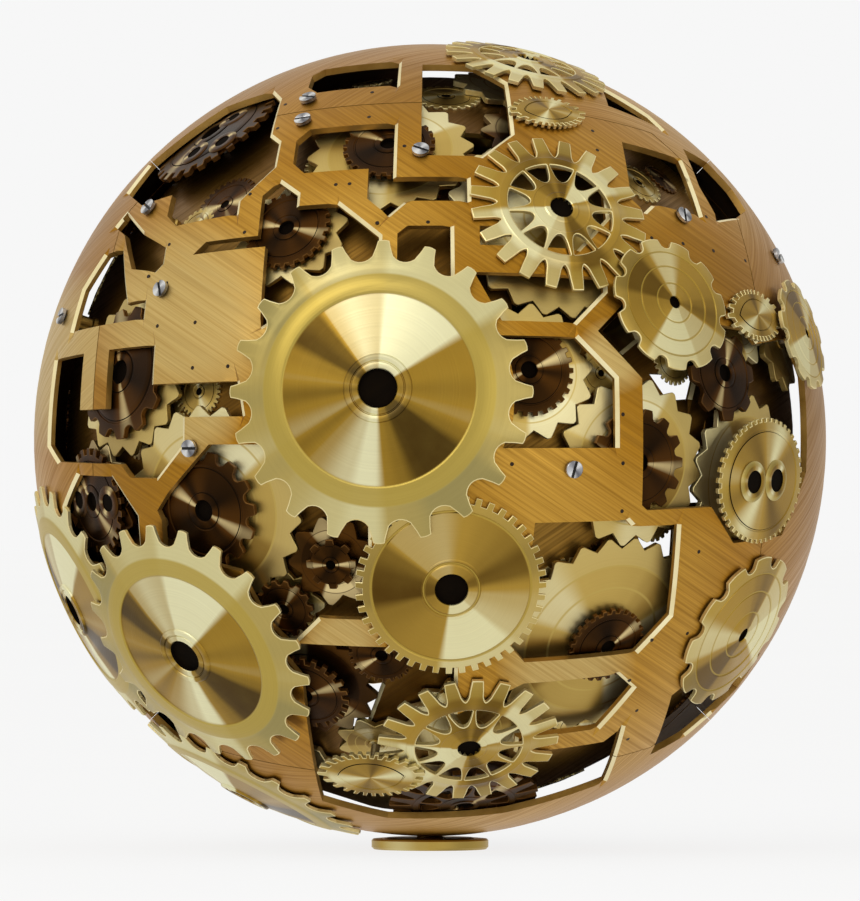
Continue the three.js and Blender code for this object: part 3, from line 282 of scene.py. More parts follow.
def oval(a, b):
    return lambda f: a * b / math.hypot(b * math.cos(f), a * math.sin(f))


def almond(a, b):
    """Radius of the overlap of two equal circles, half length a and half width b."""
    c = (a * a + b * b) / (2 * b)
    e = c - b
    return lambda f: -e * abs(math.sin(f)) + math.sqrt(max(0.0, c * c - (e * math.cos(f)) ** 2))


def arbor_t(r=97.0):
    return math.degrees(math.asin(ARBOR_R / r))


def lathe(B, prof, r_org, n=64, mat=0, close=True):
    """Turned solid on the local axis: prof is [(theta, r, mat)], from the centre of the top round to the centre of the bottom."""
    start = B.n
    a = 2 * np.pi * np.arange(n) / n
    pts, rings = [], []
    for t, r, _ in prof:
        if t <= 1e-9:
            rings.append((len(pts), 1))
            pts.append((0, 0, r - r_org))
        else:
            rings.append((len(pts), n))
            tt = math.radians(t)
            for x in a:
                pts.append((r * math.sin(tt) * math.cos(x), r * math.sin(tt) * math.sin(x), r * math.cos(tt) - r_org))
    F, Mt = [], []
    for i in range(len(prof) - 1):
        (s0, n0), (s1, n1) = rings[i], rings[i + 1]
        m = prof[i + 1][2]
        if n0 == 1:
            q = [(s0, s1 + k, s1 + (k + 1) % n) for k in range(n)]
        elif n1 == 1:
            q = [(s0 + k, s1, s0 + (k + 1) % n) for k in range(n)]
        else:
            q = band(s0, s1, n)
        F += q
        Mt += [m] * len(q)
    B.add(pts, F, Mt)


def toothed(B, outline, prof, hi, lo, r_org, mats=(0, 1, 2), ch=0.14, ring_shape=None, back_ring=0.5):
    """Solid toothed disc built in radial columns. prof: [(share of tip radius, height above hi, mat)] from centre to rim."""
    out = polar(outline)
    n = len(out)
    tip = outline[:, 0].max()
    ang = outline[:, 1]
    pts, F, Mt = [], [], []

    def loop(P, r):
        s = len(pts)
        pts.extend(dome(P, r, r_org))
        return s

    mul = np.array([ring_shape(a) for a in ang]) if ring_shape else np.ones(n)

    def circle(t):
        return np.stack([t * mul * np.cos(ang), t * mul * np.sin(ang)], -1)

    centre = len(pts)
    pts.append((0, 0, hi + prof[0][1] - r_org))
    prev = None
    for sh, dz, m in prof[1:]:
        s = loop(circle(sh * tip), hi + dz)
        q = [(centre, s + k, s + (k + 1) % n) for k in range(n)] if prev is None else band(prev, s, n)
        F += q
        Mt += [m] * len(q)
        prev = s
    end_dz = prof[-1][1]
    ins = offset_loop(out, ch)
    s = loop(ins, hi + end_dz)
    q = band(prev, s, n); F += q; Mt += [mats[0]] * n; prev = s
    s = loop(out, hi + end_dz - 0.11)
    q = band(prev, s, n); F += q; Mt += [mats[2]] * n; prev = s
    s = loop(out, lo + 0.08)
    q = band(prev, s, n); F += q; Mt += [mats[2]] * n; prev = s
    s = loop(ins, lo)
    q = band(prev, s, n); F += q; Mt += [mats[2]] * n; prev = s
    s = loop(circle(tip * back_ring), lo)
    q = band(prev, s, n); F += q; Mt += [mats[0]] * n; prev = s
    s = loop(circle(arbor_t() * 0.8), lo)
    q = band(prev, s, n); F += q; Mt += [mats[0]] * n; prev = s
    c = len(pts)
    pts.append((0, 0, lo - r_org))
    q = [(prev + k, c, prev + (k + 1) % n) for k in range(n)]
    F += q
    Mt += [mats[0]] * n
    B.add(pts, F, Mt)


def inside(P, poly):
    x, y = P[:, 0], P[:, 1]
    poly = np.asarray(poly, float)
    c = np.zeros(len(P), bool)
    j = len(poly) - 1
    for i in range(len(poly)):
        x1, y1 = poly[i]
        x2, y2 = poly[j]
        if y1 != y2:
            c ^= ((y1 > y) != (y2 > y)) & (x < (x2 - x1) * (y - y1) / (y2 - y1) + x1)
        j = i
    return c


def cdt(points, edges):
    r = delaunay_2d_cdt([Vector((float(p[0]), float(p[1]))) for p in points], edges, [], 0, 1e-6)
    V = np.array([(p.x, p.y) for p in r[0]], float)
    F = np.array([f for f in r[2] if len(f) == 3], int)
    a, b, c = V[F[:, 0]], V[F[:, 1]], V[F[:, 2]]
    area = (b[:, 0] - a[:, 0]) * (c[:, 1] - a[:, 1]) - (b[:, 1] - a[:, 1]) * (c[:, 0] - a[:, 0])
    F[area < 0] = F[area < 0][:, ::-1]
    return V, F[np.abs(area) > 1e-9]


def spoked(B, outline, holes, rings, prof, hi, lo, r_org, ch=0.14):
    """Toothed disc with windows, from a triangulation of its plan. prof: list of (theta, height above hi) for the top."""
    loops = [polar(outline), *[np.asarray(h) for h in holes]]
    ins = [offset_loop(loops[0], ch)] + [offset_loop(h, -ch * 0.8) for h in loops[1:]]
    pts, edges = [], []

    def put(P):
        s = len(pts)
        pts.extend(P.tolist())
        edges.extend((s + k, s + (k + 1) % len(P)) for k in range(len(P)))
        return s

    tags = []
    for P in ins:
        put(P)
    for t in rings:
        n = max(24, int(t * 10))
        a = 2 * np.pi * np.arange(n) / n
        put(np.stack([t * np.cos(a), t * np.sin(a)], -1))
    V, F = cdt(pts, edges)
    cen = V[F].mean(1)
    keep = inside(cen, ins[0])
    for h in ins[1:]:
        keep &= ~inside(cen, h)
    F = F[keep]
    T = np.hypot(V[:, 0], V[:, 1])
    hgt = hi + np.interp(T, [p[0] for p in prof], [p[1] for p in prof])
    tt, aa = np.radians(T), np.arctan2(V[:, 1], V[:, 0])
    top = np.stack([hgt * np.sin(tt) * np.cos(aa), hgt * np.sin(tt) * np.sin(aa), hgt * np.cos(tt) - r_org], -1)
    tc = np.hypot(cen[keep][:, 0], cen[keep][:, 1])
    mats = np.where(tc < prof[1][0] * 1.02, 1, 0)
    B.add(top, F, list(mats))
    # bottom: same plan, outer loops only
    pts2, edges2 = [], []
    for P in loops:
        s = len(pts2)
        pts2.extend(P.tolist())
        edges2.extend((s + k, s + (k + 1) % len(P)) for k in range(len(P)))
    V2, F2 = cdt(pts2, edges2)
    c2 = V2[F2].mean(1)
    k2 = inside(c2, loops[0])
    for h in loops[1:]:
        k2 &= ~inside(c2, h)
    B.add(dome(V2, lo, r_org), F2[k2][:, ::-1], 0)
    # walls and edge breaks
    end = prof[-1][1]
    for i, (P, Q) in enumerate(zip(loops, ins)):
        tq = np.hypot(Q[:, 0], Q[:, 1])
        hq = hi + np.interp(tq, [p[0] for p in prof], [p[1] for p in prof])
        n = len(P)
        a = np.radians(tq)
        ph = np.arctan2(Q[:, 1], Q[:, 0])
        up = np.stack([hq * np.sin(a) * np.cos(ph), hq * np.sin(a) * np.sin(ph), hq * np.cos(a) - r_org], -1)
        a2 = np.radians(np.hypot(P[:, 0], P[:, 1]))
        p2 = np.arctan2(P[:, 1], P[:, 0])
        h2 = hq - 0.12
        mid = np.stack([h2 * np.sin(a2) * np.cos(p2), h2 * np.sin(a2) * np.sin(p2), h2 * np.cos(a2) - r_org], -1)
        low = dome(P, lo, r_org)
        q = band(0, n, n) + band(n, 2 * n, n)
        if i and _ccw(P) < 0:
            pass
        if i:
            q = [f[::-1] for f in q] if _ccw(P) > 0 else q
        B.add(np.concatenate([up, mid, low]), q, 2)


def _ccw(P):
    x, y = np.asarray(P)[:, 0], np.asarray(P)[:, 1]
    return float((x * np.roll(y, -1) - np.roll(x, -1) * y).sum())


def rod(B, r0, r1, radius, r_org, n=20, mat=3, ch=0.15):
    a = 2 * np.pi * np.arange(n) / n
    pts = []
    for rr, z in ((radius - ch, r1), (radius, r1 - ch), (radius, r0 + ch), (radius - ch, r0)):
        pts += [(rr * math.cos(x), rr * math.sin(x), z - r_org) for x in a]
    pts += [(0, 0, r1 - r_org), (0, 0, r0 - r_org)]
    F = band(0, n, n) + band(n, 2 * n, n) + band(2 * n, 3 * n, n)
    F += [(4 * n, k, (k + 1) % n) for k in range(n)] + [(3 * n + k, 4 * n + 1, 3 * n + (k + 1) % n) for k in range(n)]
    B.add(pts, F, mat)


# ---- materials ----------------------------------------------------------------------------
def srgb(r, g, b):
    f = lambda c: c / 255 / 12.92 if c / 255 <= 0.04045 else ((c / 255 + 0.055) / 1.055) ** 2.4
    return (f(r), f(g), f(b), 1.0)


class Nodes:
    def __init__(self, name):
        self.mat = bpy.data.materials.new(name)
        self.mat.use_nodes = True
        self.t = self.mat.node_tree
        self.t.nodes.clear()
        self.out = self.t.nodes.new("ShaderNodeOutputMaterial")
        self.bsdf = self.t.nodes.new("ShaderNodeBsdfPrincipled")
        self.t.links.new(self.bsdf.outputs[0], self.out.inputs[0])

    def node(self, kind, **kw):
        n = self.t.nodes.new(kind)
        for k, v in kw.items():
            setattr(n, k, v)
        return n

    def link(self, a, b):
        self.t.links.new(a, b)

    def math(self, op, a, b=None, c=None, clamp=False):
        n = self.node("ShaderNodeMath", operation=op, use_clamp=clamp)
        for i, x in enumerate((a, b, c)):
            if x is None:
                continue
            if isinstance(x, (int, float)):
                n.inputs[i].default_value = x
            else:
                self.link(x, n.inputs[i])
        return n.outputs[0]

    def ramp(self, fac, stops, mode="LINEAR"):
        n = self.node("ShaderNodeValToRGB")
        n.color_ramp.interpolation = mode
        el = n.color_ramp.elements
        while len(el) > 1:
            el.remove(el[-1])
        for k, (p, c) in enumerate(stops):
            e = el[0] if k == 0 else el.new(p)
            e.position = p
            e.color = c if len(c) == 4 else (*c, 1)
        self.link(fac, n.inputs[0])
        return n.outputs[0]

    def mix(self, fac, a, b, blend="MIX"):
        n = self.node("ShaderNodeMix", data_type="RGBA", blend_type=blend)
        if isinstance(fac, (int, float)):
            n.inputs[0].default_value = fac
        else:
            self.link(fac, n.inputs[0])
        for i, x in ((6, a), (7, b)):
            if isinstance(x, tuple):
                n.inputs[i].default_value = x
            else:
                self.link(x, n.inputs[i])
        return n.outputs[2]

    def noise(self, vec, scale, detail=2.0, rough=0.5):
        n = self.node("ShaderNodeTexNoise")
        n.inputs["Scale"].default_value = scale
        n.inputs["Detail"].default_value = detail
        n.inputs["Roughness"].default_value = rough
        if vec is not None:
            self.link(vec, n.inputs["Vector"])
        return n.outputs[0]

    def combine(self, x, y, z):
        n = self.node("ShaderNodeCombineXYZ")
        for i, s in enumerate((x, y, z)):
            if isinstance(s, (int, float)):
                n.inputs[i].default_value = s
            else:
                self.link(s, n.inputs[i])
        return n.outputs[0]

    def obj(self, place_at=None):
        """Object coordinates, seen from the frame of one turned part when place_at is given."""
        out = self.node("ShaderNodeTexCoord").outputs["Object"]
        if place_at is not None:
            m = self.node("ShaderNodeMapping", vector_type="TEXTURE")
            m.inputs["Location"].default_value = place_at.to_translation()
            m.inputs["Rotation"].default_value = place_at.to_euler("XYZ")
            self.link(out, m.inputs["Vector"])
            out = m.outputs[0]
        s = self.node("ShaderNodeSeparateXYZ")
        self.link(out, s.inputs[0])
        return out, s.outputs[0], s.outputs[1], s.outputs[2]

    def bump(self, height, strength, dist=0.0002):
        n = self.node("ShaderNodeBump")
        n.inputs["Strength"].default_value = strength
        n.inputs["Distance"].default_value = dist
        self.link(height, n.inputs["Height"])
        self.link(n.outputs[0], self.bsdf.inputs["Normal"])

    def set(self, **kw):
        for k, v in kw.items():
            k = k.replace("_", " ")
            if isinstance(v, (int, float, tuple)):
                self.bsdf.inputs[k].default_value = v
            else:
                self.link(v, self.bsdf.inputs[k])
        return self.mat


# hi and lo also serve as the painted highlight and painted shade tones of the sectors round each wheel
BRIGHT = {"hi": srgb(240, 236, 192), "mid": srgb(160, 124, 40), "lo": srgb(56, 33, 2), "ring": srgb(186, 162, 78), "rim": srgb(204, 190, 122)}
GOLD = {"hi": srgb(240, 234, 184), "mid": srgb(176, 140, 56), "lo": srgb(72, 45, 5), "ring": srgb(182, 154, 68), "rim": srgb(200, 174, 94)}
DARK = {"hi": srgb(244, 220, 158), "mid": srgb(88, 53, 12), "lo": srgb(20, 9, 0), "ring": srgb(56, 32, 6), "rim": srgb(84, 54, 16)}
PALE = {"hi": srgb(240, 234, 190), "mid": srgb(196, 166, 88), "lo": srgb(124, 92, 34), "ring": srgb(196, 170, 92), "rim": srgb(214, 196, 132)}
# painted highlight and painted shade of each wheel face, by angle round its axis: (degrees, value)
PAINTED_SHEEN_GREAT = [(0, .40), (14, .50), (30, .48), (38, 1.0), (84, 1.0), (91, .72), (108, .78), (124, .64), (131, .12), (148, .02), (157, .34), (172, .52), (184, .28), (195, .50), (207, .60), (216, .36), (228, .55), (250, .80), (261, 1.0), (268, .95), (276, .46), (286, .34), (296, .06), (308, .0), (322, .02), (331, .34), (342, .54)]
PAINTED_SHEEN_FINE = [(0, .50), (14, .15), (24, .12), (40, .30), (60, .40), (80, .50), (100, .62), (140, .58), (150, .2), (170, .06), (190, .03), (203, .30), (240, .42), (260, .46), (268, 1.0), (312, 1.0), (322, .74), (350, .62)]
PAINTED_SHEEN_PADDLE = [(0, .60), (14, .50), (20, .92), (54, .92), (60, .50), (68, .10), (80, .10), (92, .30), (104, .15), (125, .25), (140, .45), (176, .50), (182, .97), (232, .97), (240, .78), (262, .74), (270, .35), (282, .10), (298, .12), (312, .45), (345, .52)]
PAINTED_SHEEN_COG = [(0, .30), (12, .42), (40, .48), (62, .50), (80, .80), (100, .76), (112, .40), (124, .08), (160, .08), (170, .35), (205, .42), (226, .50), (234, 1.0), (284, 1.0), (290, .78), (326, .74), (334, .25), (346, .18)]
PAINTED_SHEEN_PLAIN = [(0, .40), (30, .30), (62, .95), (85, .60), (118, .20), (150, .35), (175, .62), (200, .30), (238, .92), (262, .55), (300, .12), (330, .35)]
PAINTED_SHEEN_DARK = [(0, .20), (28, .10), (58, .80), (72, .35), (110, .05), (150, .10), (185, .30), (205, .08), (236, .92), (250, .30), (300, .02), (335, .12)]


def turned_painted_sheen(name, R, tones, sheen_fan, bands, rough=0.3, turn=0.0, metal=0.95, at=None):
    """Lathe-cut metal with painted highlights: light and dark sectors painted by angle round the axis stand in for the
    reflections of the cut rings; fine concentric tool marks and darker grooves.
    """
    N = Nodes(name)
    vec, x, y, z = N.obj(at)
    ang = N.math("ARCTAN2", y, x)
    fr = N.math("FRACT", N.math("ADD", N.math("MULTIPLY", ang, 1 / (2 * math.pi)), 1.0 + turn))
    # painted highlight and painted shade: the sector tone is set by angle round the axis, not by the lamps
    stops = [(d / 360, (v, v, v, 1)) for d, v in sheen_fan]
    first = sheen_fan[0][1]
    stops.append((1.0, (first, first, first, 1)))
    f = N.ramp(fr, stops, "EASE")
    r2 = N.math("SQRT", N.math("ADD", N.math("MULTIPLY", x, x), N.math("MULTIPLY", y, y)))
    rr = N.math("MULTIPLY", r2, 1000.0 / R)
    amp = N.ramp(rr, [(p, (a, a, a, 1)) for p, a, _ in bands], "LINEAR")
    fine = N.noise(N.combine(N.math("MULTIPLY", rr, 55.0), 0.0, 0.0), 1.0, 3.0, 0.7)
    mott = N.noise(vec, 90.0, 4.0, 0.55)
    face = N.ramp(f, [(0.04, tones["lo"]), (0.5, tones["mid"]), (0.96, tones["hi"])])
    plain = N.ramp(rr, [(p, tones[c]) for p, _, c in bands], "LINEAR")
    col = N.mix(amp, plain, face)
    col = N.mix(N.math("MULTIPLY", fine, 0.24), col, tones["lo"], "MIX")
    col = N.mix(N.math("MULTIPLY", mott, 0.16), col, tones["ring"], "MIX")
    N.bump(fine, 0.35, 0.00012)
    ro = N.math("ADD", rough - 0.06, N.math("MULTIPLY", fine, 0.14))
    return N.set(Base_Color=col, Metallic=metal, Roughness=ro, Anisotropic=0.55)


def simple_metal(name, a, b, scale=60.0, rough=0.35, metal=0.9, bump=0.2):
    N = Nodes(name)
    vec, x, y, z = N.obj()
    n1 = N.noise(vec, scale, 4.0, 0.6)
    n2 = N.noise(vec, scale * 14, 2.0, 0.5)
    col = N.ramp(n1, [(0.3, a), (0.7, b)])
    N.bump(n2, bump, 0.0001)
    ro = N.math("ADD", rough - 0.08, N.math("MULTIPLY", n1, 0.16))
    return N.set(Base_Color=col, Metallic=metal, Roughness=ro)


def brushed(name, axes, sign, tones, rough=0.42, metal=0.95, painted_light_spots=()):
    """Straight-grained brass plate: long scratches at thirty degrees in the plane of the given axes; round spots of
    painted light make the brass and its scratches paler where given.
    """
    N = Nodes(name)
    vec, x, y, z = N.obj()
    pick = {"x": x, "y": y, "z": z}
    p, q = pick[axes[0]], pick[axes[1]]
    c, s = math.cos(math.radians(34)), math.sin(math.radians(34)) * sign
    along = N.math("ADD", N.math("MULTIPLY", p, c), N.math("MULTIPLY", q, s))
    across = N.math("SUBTRACT", N.math("MULTIPLY", q, c), N.math("MULTIPLY", p, s))
    g1 = N.noise(N.combine(N.math("MULTIPLY", along, 18.0), N.math("MULTIPLY", across, 1500.0), 0.0), 1.0, 3.0, 0.65)
    g2 = N.noise(N.combine(N.math("MULTIPLY", along, 7.0), N.math("MULTIPLY", across, 420.0), 3.0), 1.0, 2.0, 0.6)
    g1 = N.ramp(g1, [(.34, (0, 0, 0, 1)), (.66, (1, 1, 1, 1))])
    big = N.noise(vec, 13.0, 2.0, 0.5)
    col = N.ramp(big, [(0.36, tones[0]), (0.5, tones[1]), (0.64, tones[2])])
    light = None
    # painted light: round pale pools at the given x and z
    for cx, cz, rad in painted_light_spots:
        dx = N.math("MULTIPLY", N.math("SUBTRACT", x, cx), 1 / rad)
        dz = N.math("MULTIPLY", N.math("SUBTRACT", z, cz), 1 / rad)
        m = N.math("SUBTRACT", 1.25, N.math("ADD", N.math("MULTIPLY", dx, dx), N.math("MULTIPLY", dz, dz)), clamp=True)
        light = m if light is None else N.math("MAXIMUM", light, m)
    if light is not None:
        col = N.mix(light, col, srgb(200, 174, 112))
    col = N.mix(N.math("MULTIPLY", g1, 0.55), col, tones[3] if light is None else N.mix(light, tones[3], srgb(150, 120, 62)))
    col = N.mix(N.math("MULTIPLY", g2, 0.35), col, tones[2])
    N.bump(g1, 0.18, 0.0001)
    ro = N.math("ADD", rough - 0.1, N.math("MULTIPLY", g1, 0.2))
    return N.set(Base_Color=col, Metallic=metal, Roughness=ro)


T_PLATE = (srgb(150, 102, 18), srgb(170, 118, 26), srgb(194, 148, 60), srgb(106, 66, 6))
# painted shade: near-black for the floors of bores and grooves, where shade falls
M_BORE_PAINTED_SHADE = simple_metal("bore_painted_shade", srgb(8, 4, 1), srgb(16, 9, 3), 200, 0.9, 0.0)
next(n for n in M_BORE_PAINTED_SHADE.node_tree.nodes if n.type == "BSDF_PRINCIPLED").inputs["Specular IOR Level"].default_value = 0.05
# painted highlight: pale cream for the chamfer strips on one side of each window
M_EDGE_PAINTED_HIGHLIGHT = simple_metal("painted_highlight_edge", srgb(226, 208, 152), srgb(240, 228, 182), 80, 0.36, 0.6)
M_WALL = simple_metal("cut_wall", srgb(150, 112, 46), srgb(190, 150, 78), 90, 0.42, 0.85)
M_TOOTH = simple_metal("tooth_wall", srgb(206, 186, 122), srgb(232, 218, 164), 90, 0.36, 0.8)
M_DTOOTH = simple_metal("dark_tooth_wall", srgb(70, 42, 12), srgb(120, 82, 34), 90, 0.4, 0.85)
M_ARBOR = simple_metal("arbor_steel", srgb(110, 104, 96), srgb(170, 164, 152), 150, 0.3, 0.95)
M_TRAIN = simple_metal("train_brass", srgb(150, 112, 44), srgb(206, 172, 92), 70, 0.34, 0.9)
M_TRAIN2 = simple_metal("train_bronze", srgb(84, 52, 16), srgb(140, 98, 40), 70, 0.36, 0.9)
# plate_front and plate_left carry spots of painted light
M_PLATES = {
    "plate_front": brushed("plate_front_brass", "xz", -1, T_PLATE, painted_light_spots=((-.062, .136, .024), (.046, .126, .009), (.034, .048, .016), (-.022, .054, .010), (-.060, .112, .012))), "plate_back": brushed("plate_back_brass", "xz", 1, T_PLATE),
    "plate_left": brushed("plate_left_brass", "yz", -1, T_PLATE, painted_light_spots=((-.090, .124, .022),)), "plate_right": brushed("plate_right_brass", "yz", 1, T_PLATE),
    "plate_top": brushed("plate_top_brass", "xy", 1, T_PLATE), "plate_bottom": brushed("plate_bottom_brass", "xy", -1, T_PLATE),
}
M_UNDER = simple_metal("plate_underside", srgb(96, 66, 24), srgb(134, 96, 40), 60, 0.5, 0.8)
# mainplate brass painted darker than the outer plates: partly its own tone, partly painted shade of the globe's inside
T_MAIN_WITH_SHADE = (srgb(72, 44, 8), srgb(104, 68, 18), srgb(150, 112, 46), srgb(44, 25, 4))
M_MAIN = brushed("mainplate_brass", "xz", 1, T_MAIN_WITH_SHADE, 0.42)

# ---- wheels ---------------------------------------------------------------------------------
# profiles: (share of tip radius, height above the top, material); material 1 is the painted shade of bores and grooves
GREAT = [(0, -.95, 1), (.122, -.95, 1), (.125, .05, 1), (.130, .30, 0), (.150, .42, 0), (.166, .30, 0), (.170, .10, 0), (.175, .10, 0), (.180, .42, 0), (.187, .52, 0), (.208, .52, 0), (.217, .30, 0),
         (.222, -.02, 0), (.40, -.2, 0), (.60, -.40, 0), (.624, -.42, 0), (.630, -.2, 0), (.640, -.02, 0), (.700, .0, 0), (.758, -.02, 0), (.770, -.18, 0), (.80, -.22, 0), (.825, -.26, 0)]
FINE = [(0, -.95, 1), (.163, -.95, 1), (.168, -.1, 1), (.174, .2, 0), (.20, .34, 0), (.262, .34, 0), (.276, .15, 0), (.284, -.12, 0), (.298, -.12, 0), (.306, .1, 0), (.322, .1, 0), (.332, -.05, 0),
        (.60, -.2, 0), (.815, -.34, 0), (.826, -.5, 0), (.840, -.5, 0), (.850, -.3, 0), (.885, -.3, 0)]
COG = [(0, -.95, 1), (.082, -.95, 1), (.088, -.1, 1), (.096, .2, 0), (.14, .28, 0), (.20, .1, 0), (.28, -.05, 0), (.292, -.2, 0), (.305, -.2, 0), (.318, .04, 0), (.44, -.08, 0), (.545, -.16, 0), (.556, -.3, 0), (.572, -.3, 0), (.584, -.06, 0),
       (.70, -.14, 0), (.775, -.2, 0), (.782, -.36, 0), (.795, -.36, 0), (.805, -.14, 0), (.83, -.14, 0)]
INNERP = [(0, -1.2, 1), (.17, -1.2, 1), (.178, -.05, 1), (.19, .14, 0), (.25, .18, 0), (.30, .05, 0), (.315, -.12, 1), (.33, -.12, 0), (.345, .0, 0), (.62, -.1, 0), (.72, -.16, 0), (.735, -.28, 1), (.755, -.28, 0), (.77, -.12, 0), (.82, -.12, 0)]
LENSP = [(0, .22, 0), (.10, .22, 0), (.34, .10, 0), (.60, -.02, 0), (.615, -.2, 1), (.632, -.2, 0), (.648, .03, 0), (.70, .03, 0), (.78, -.04, 0)]
BANDS = {
    "sprocket": [(0.0, .9, "mid"), (.13, .9, "mid"), (.225, 1, "hi"), (.626, 1, "mid"), (.636, .05, "ring"), (.76, .05, "ring"), (.772, .46, "rim"), (.86, .46, "rim"), (1.0, .46, "rim")],
    "fine": [(0.0, .8, "mid"), (.27, .9, "mid"), (.283, .15, "ring"), (.30, .15, "ring"), (.315, 1, "mid"), (.815, 1, "mid"), (.824, .1, "ring"), (.842, .1, "ring"), (.852, .55, "rim"), (1.0, .5, "rim")],
    "cog": [(0.0, .7, "mid"), (.285, .9, "mid"), (.292, .2, "ring"), (.306, .2, "ring"), (.314, .95, "mid"), (.55, .95, "mid"), (.557, .2, "ring"), (.571, .2, "ring"), (.58, .95, "mid"), (.775, .95, "mid"), (.783, .2, "ring"), (.797, .2, "ring"), (.805, .7, "rim"), (1.0, .6, "rim")],
    "other": [(0.0, .8, "mid"), (.3, 1, "mid"), (.74, .9, "mid"), (.8, .5, "ring"), (1.0, .45, "rim")],
}


def phases():
    by = {w[0]: w for w in WHEELS}
    ph = {}

    def bearing(a, c):
        u, v, w = basis(a)
        return math.atan2(np.dot(c, v), np.dot(c, u))

    for i, j, fl in MESHES:
        a, c = by[i], by[j]
        ni, nj = a[8][fl][1], c[8][fl][1]
        p = ph.setdefault((i, fl), 0.0)
        fi = bearing(a[7], c[7]) * ni / (2 * math.pi) - p
        ph[(j, fl)] = bearing(c[7], a[7]) * nj / (2 * math.pi) - (0.5 - fi)
    return ph


PH = phases()


def train_gear(B, r, N, phase, gl, gh, org, mat):
    """Hidden train gear: trapezoid teeth with a turned web."""
    o, P = [], 2 * math.pi / N
    for k in range(N):
        c = (k + phase) * P
        for t, s in ((r - DED, -.5), (r - .25, -.27), (r + ADD * .75, -.10), (r + ADD, -.05), (r + ADD, .05), (r + ADD * .75, .10), (r - .25, .27)):
            o.append((t, c + s * P))
    tip = r + ADD
    inner = arbor_t() * 1.5
    prof = [(0, .05, mat), (inner / tip, .05, mat), (min(.5, (inner + .6) / tip), -.15, mat), (max(.52, (r - DED) / tip - .16), -.15, mat), (max(.56, (r - DED) / tip - .10), 0.0, mat), ((r - DED) / tip - .03, 0.0, mat)]
    toothed(B, np.array(o), prof, gh, gl, org, (mat, mat, mat), ch=0.08)


def sector(t0, t1, a0, a1, w0, w1, n=10):
    """Window between two tapering spokes, with half widths w0 at t0 and w1 at t1, counter-clockwise."""
    i0, i1 = a0 + w0 / t0, a1 - w0 / t0
    o0, o1 = a0 + w1 / t1, a1 - w1 / t1
    P = [(t1, a) for a in np.linspace(o0, o1, n)] + [(t0, a) for a in np.linspace(i1, i0, max(3, n // 2))]
    return polar(P)


def petal(R, a0, a1):
    """Window with a broad outer arc and a round inner end, leaving a spoke that widens towards the hub."""
    side = ((.580, .018), (.52, .023), (.46, .030), (.41, .039), (.375, .052), (.355, .070))
    P = [(R * .592, a) for a in np.linspace(a0 + .026 / .592, a1 - .026 / .592, 7)]
    P += [(R * t, a1 - w / t) for t, w in side] + [(R * .348, (a0 + a1) / 2)] + [(R * t, a0 + w / t) for t, w in side[::-1]]
    return polar(P)


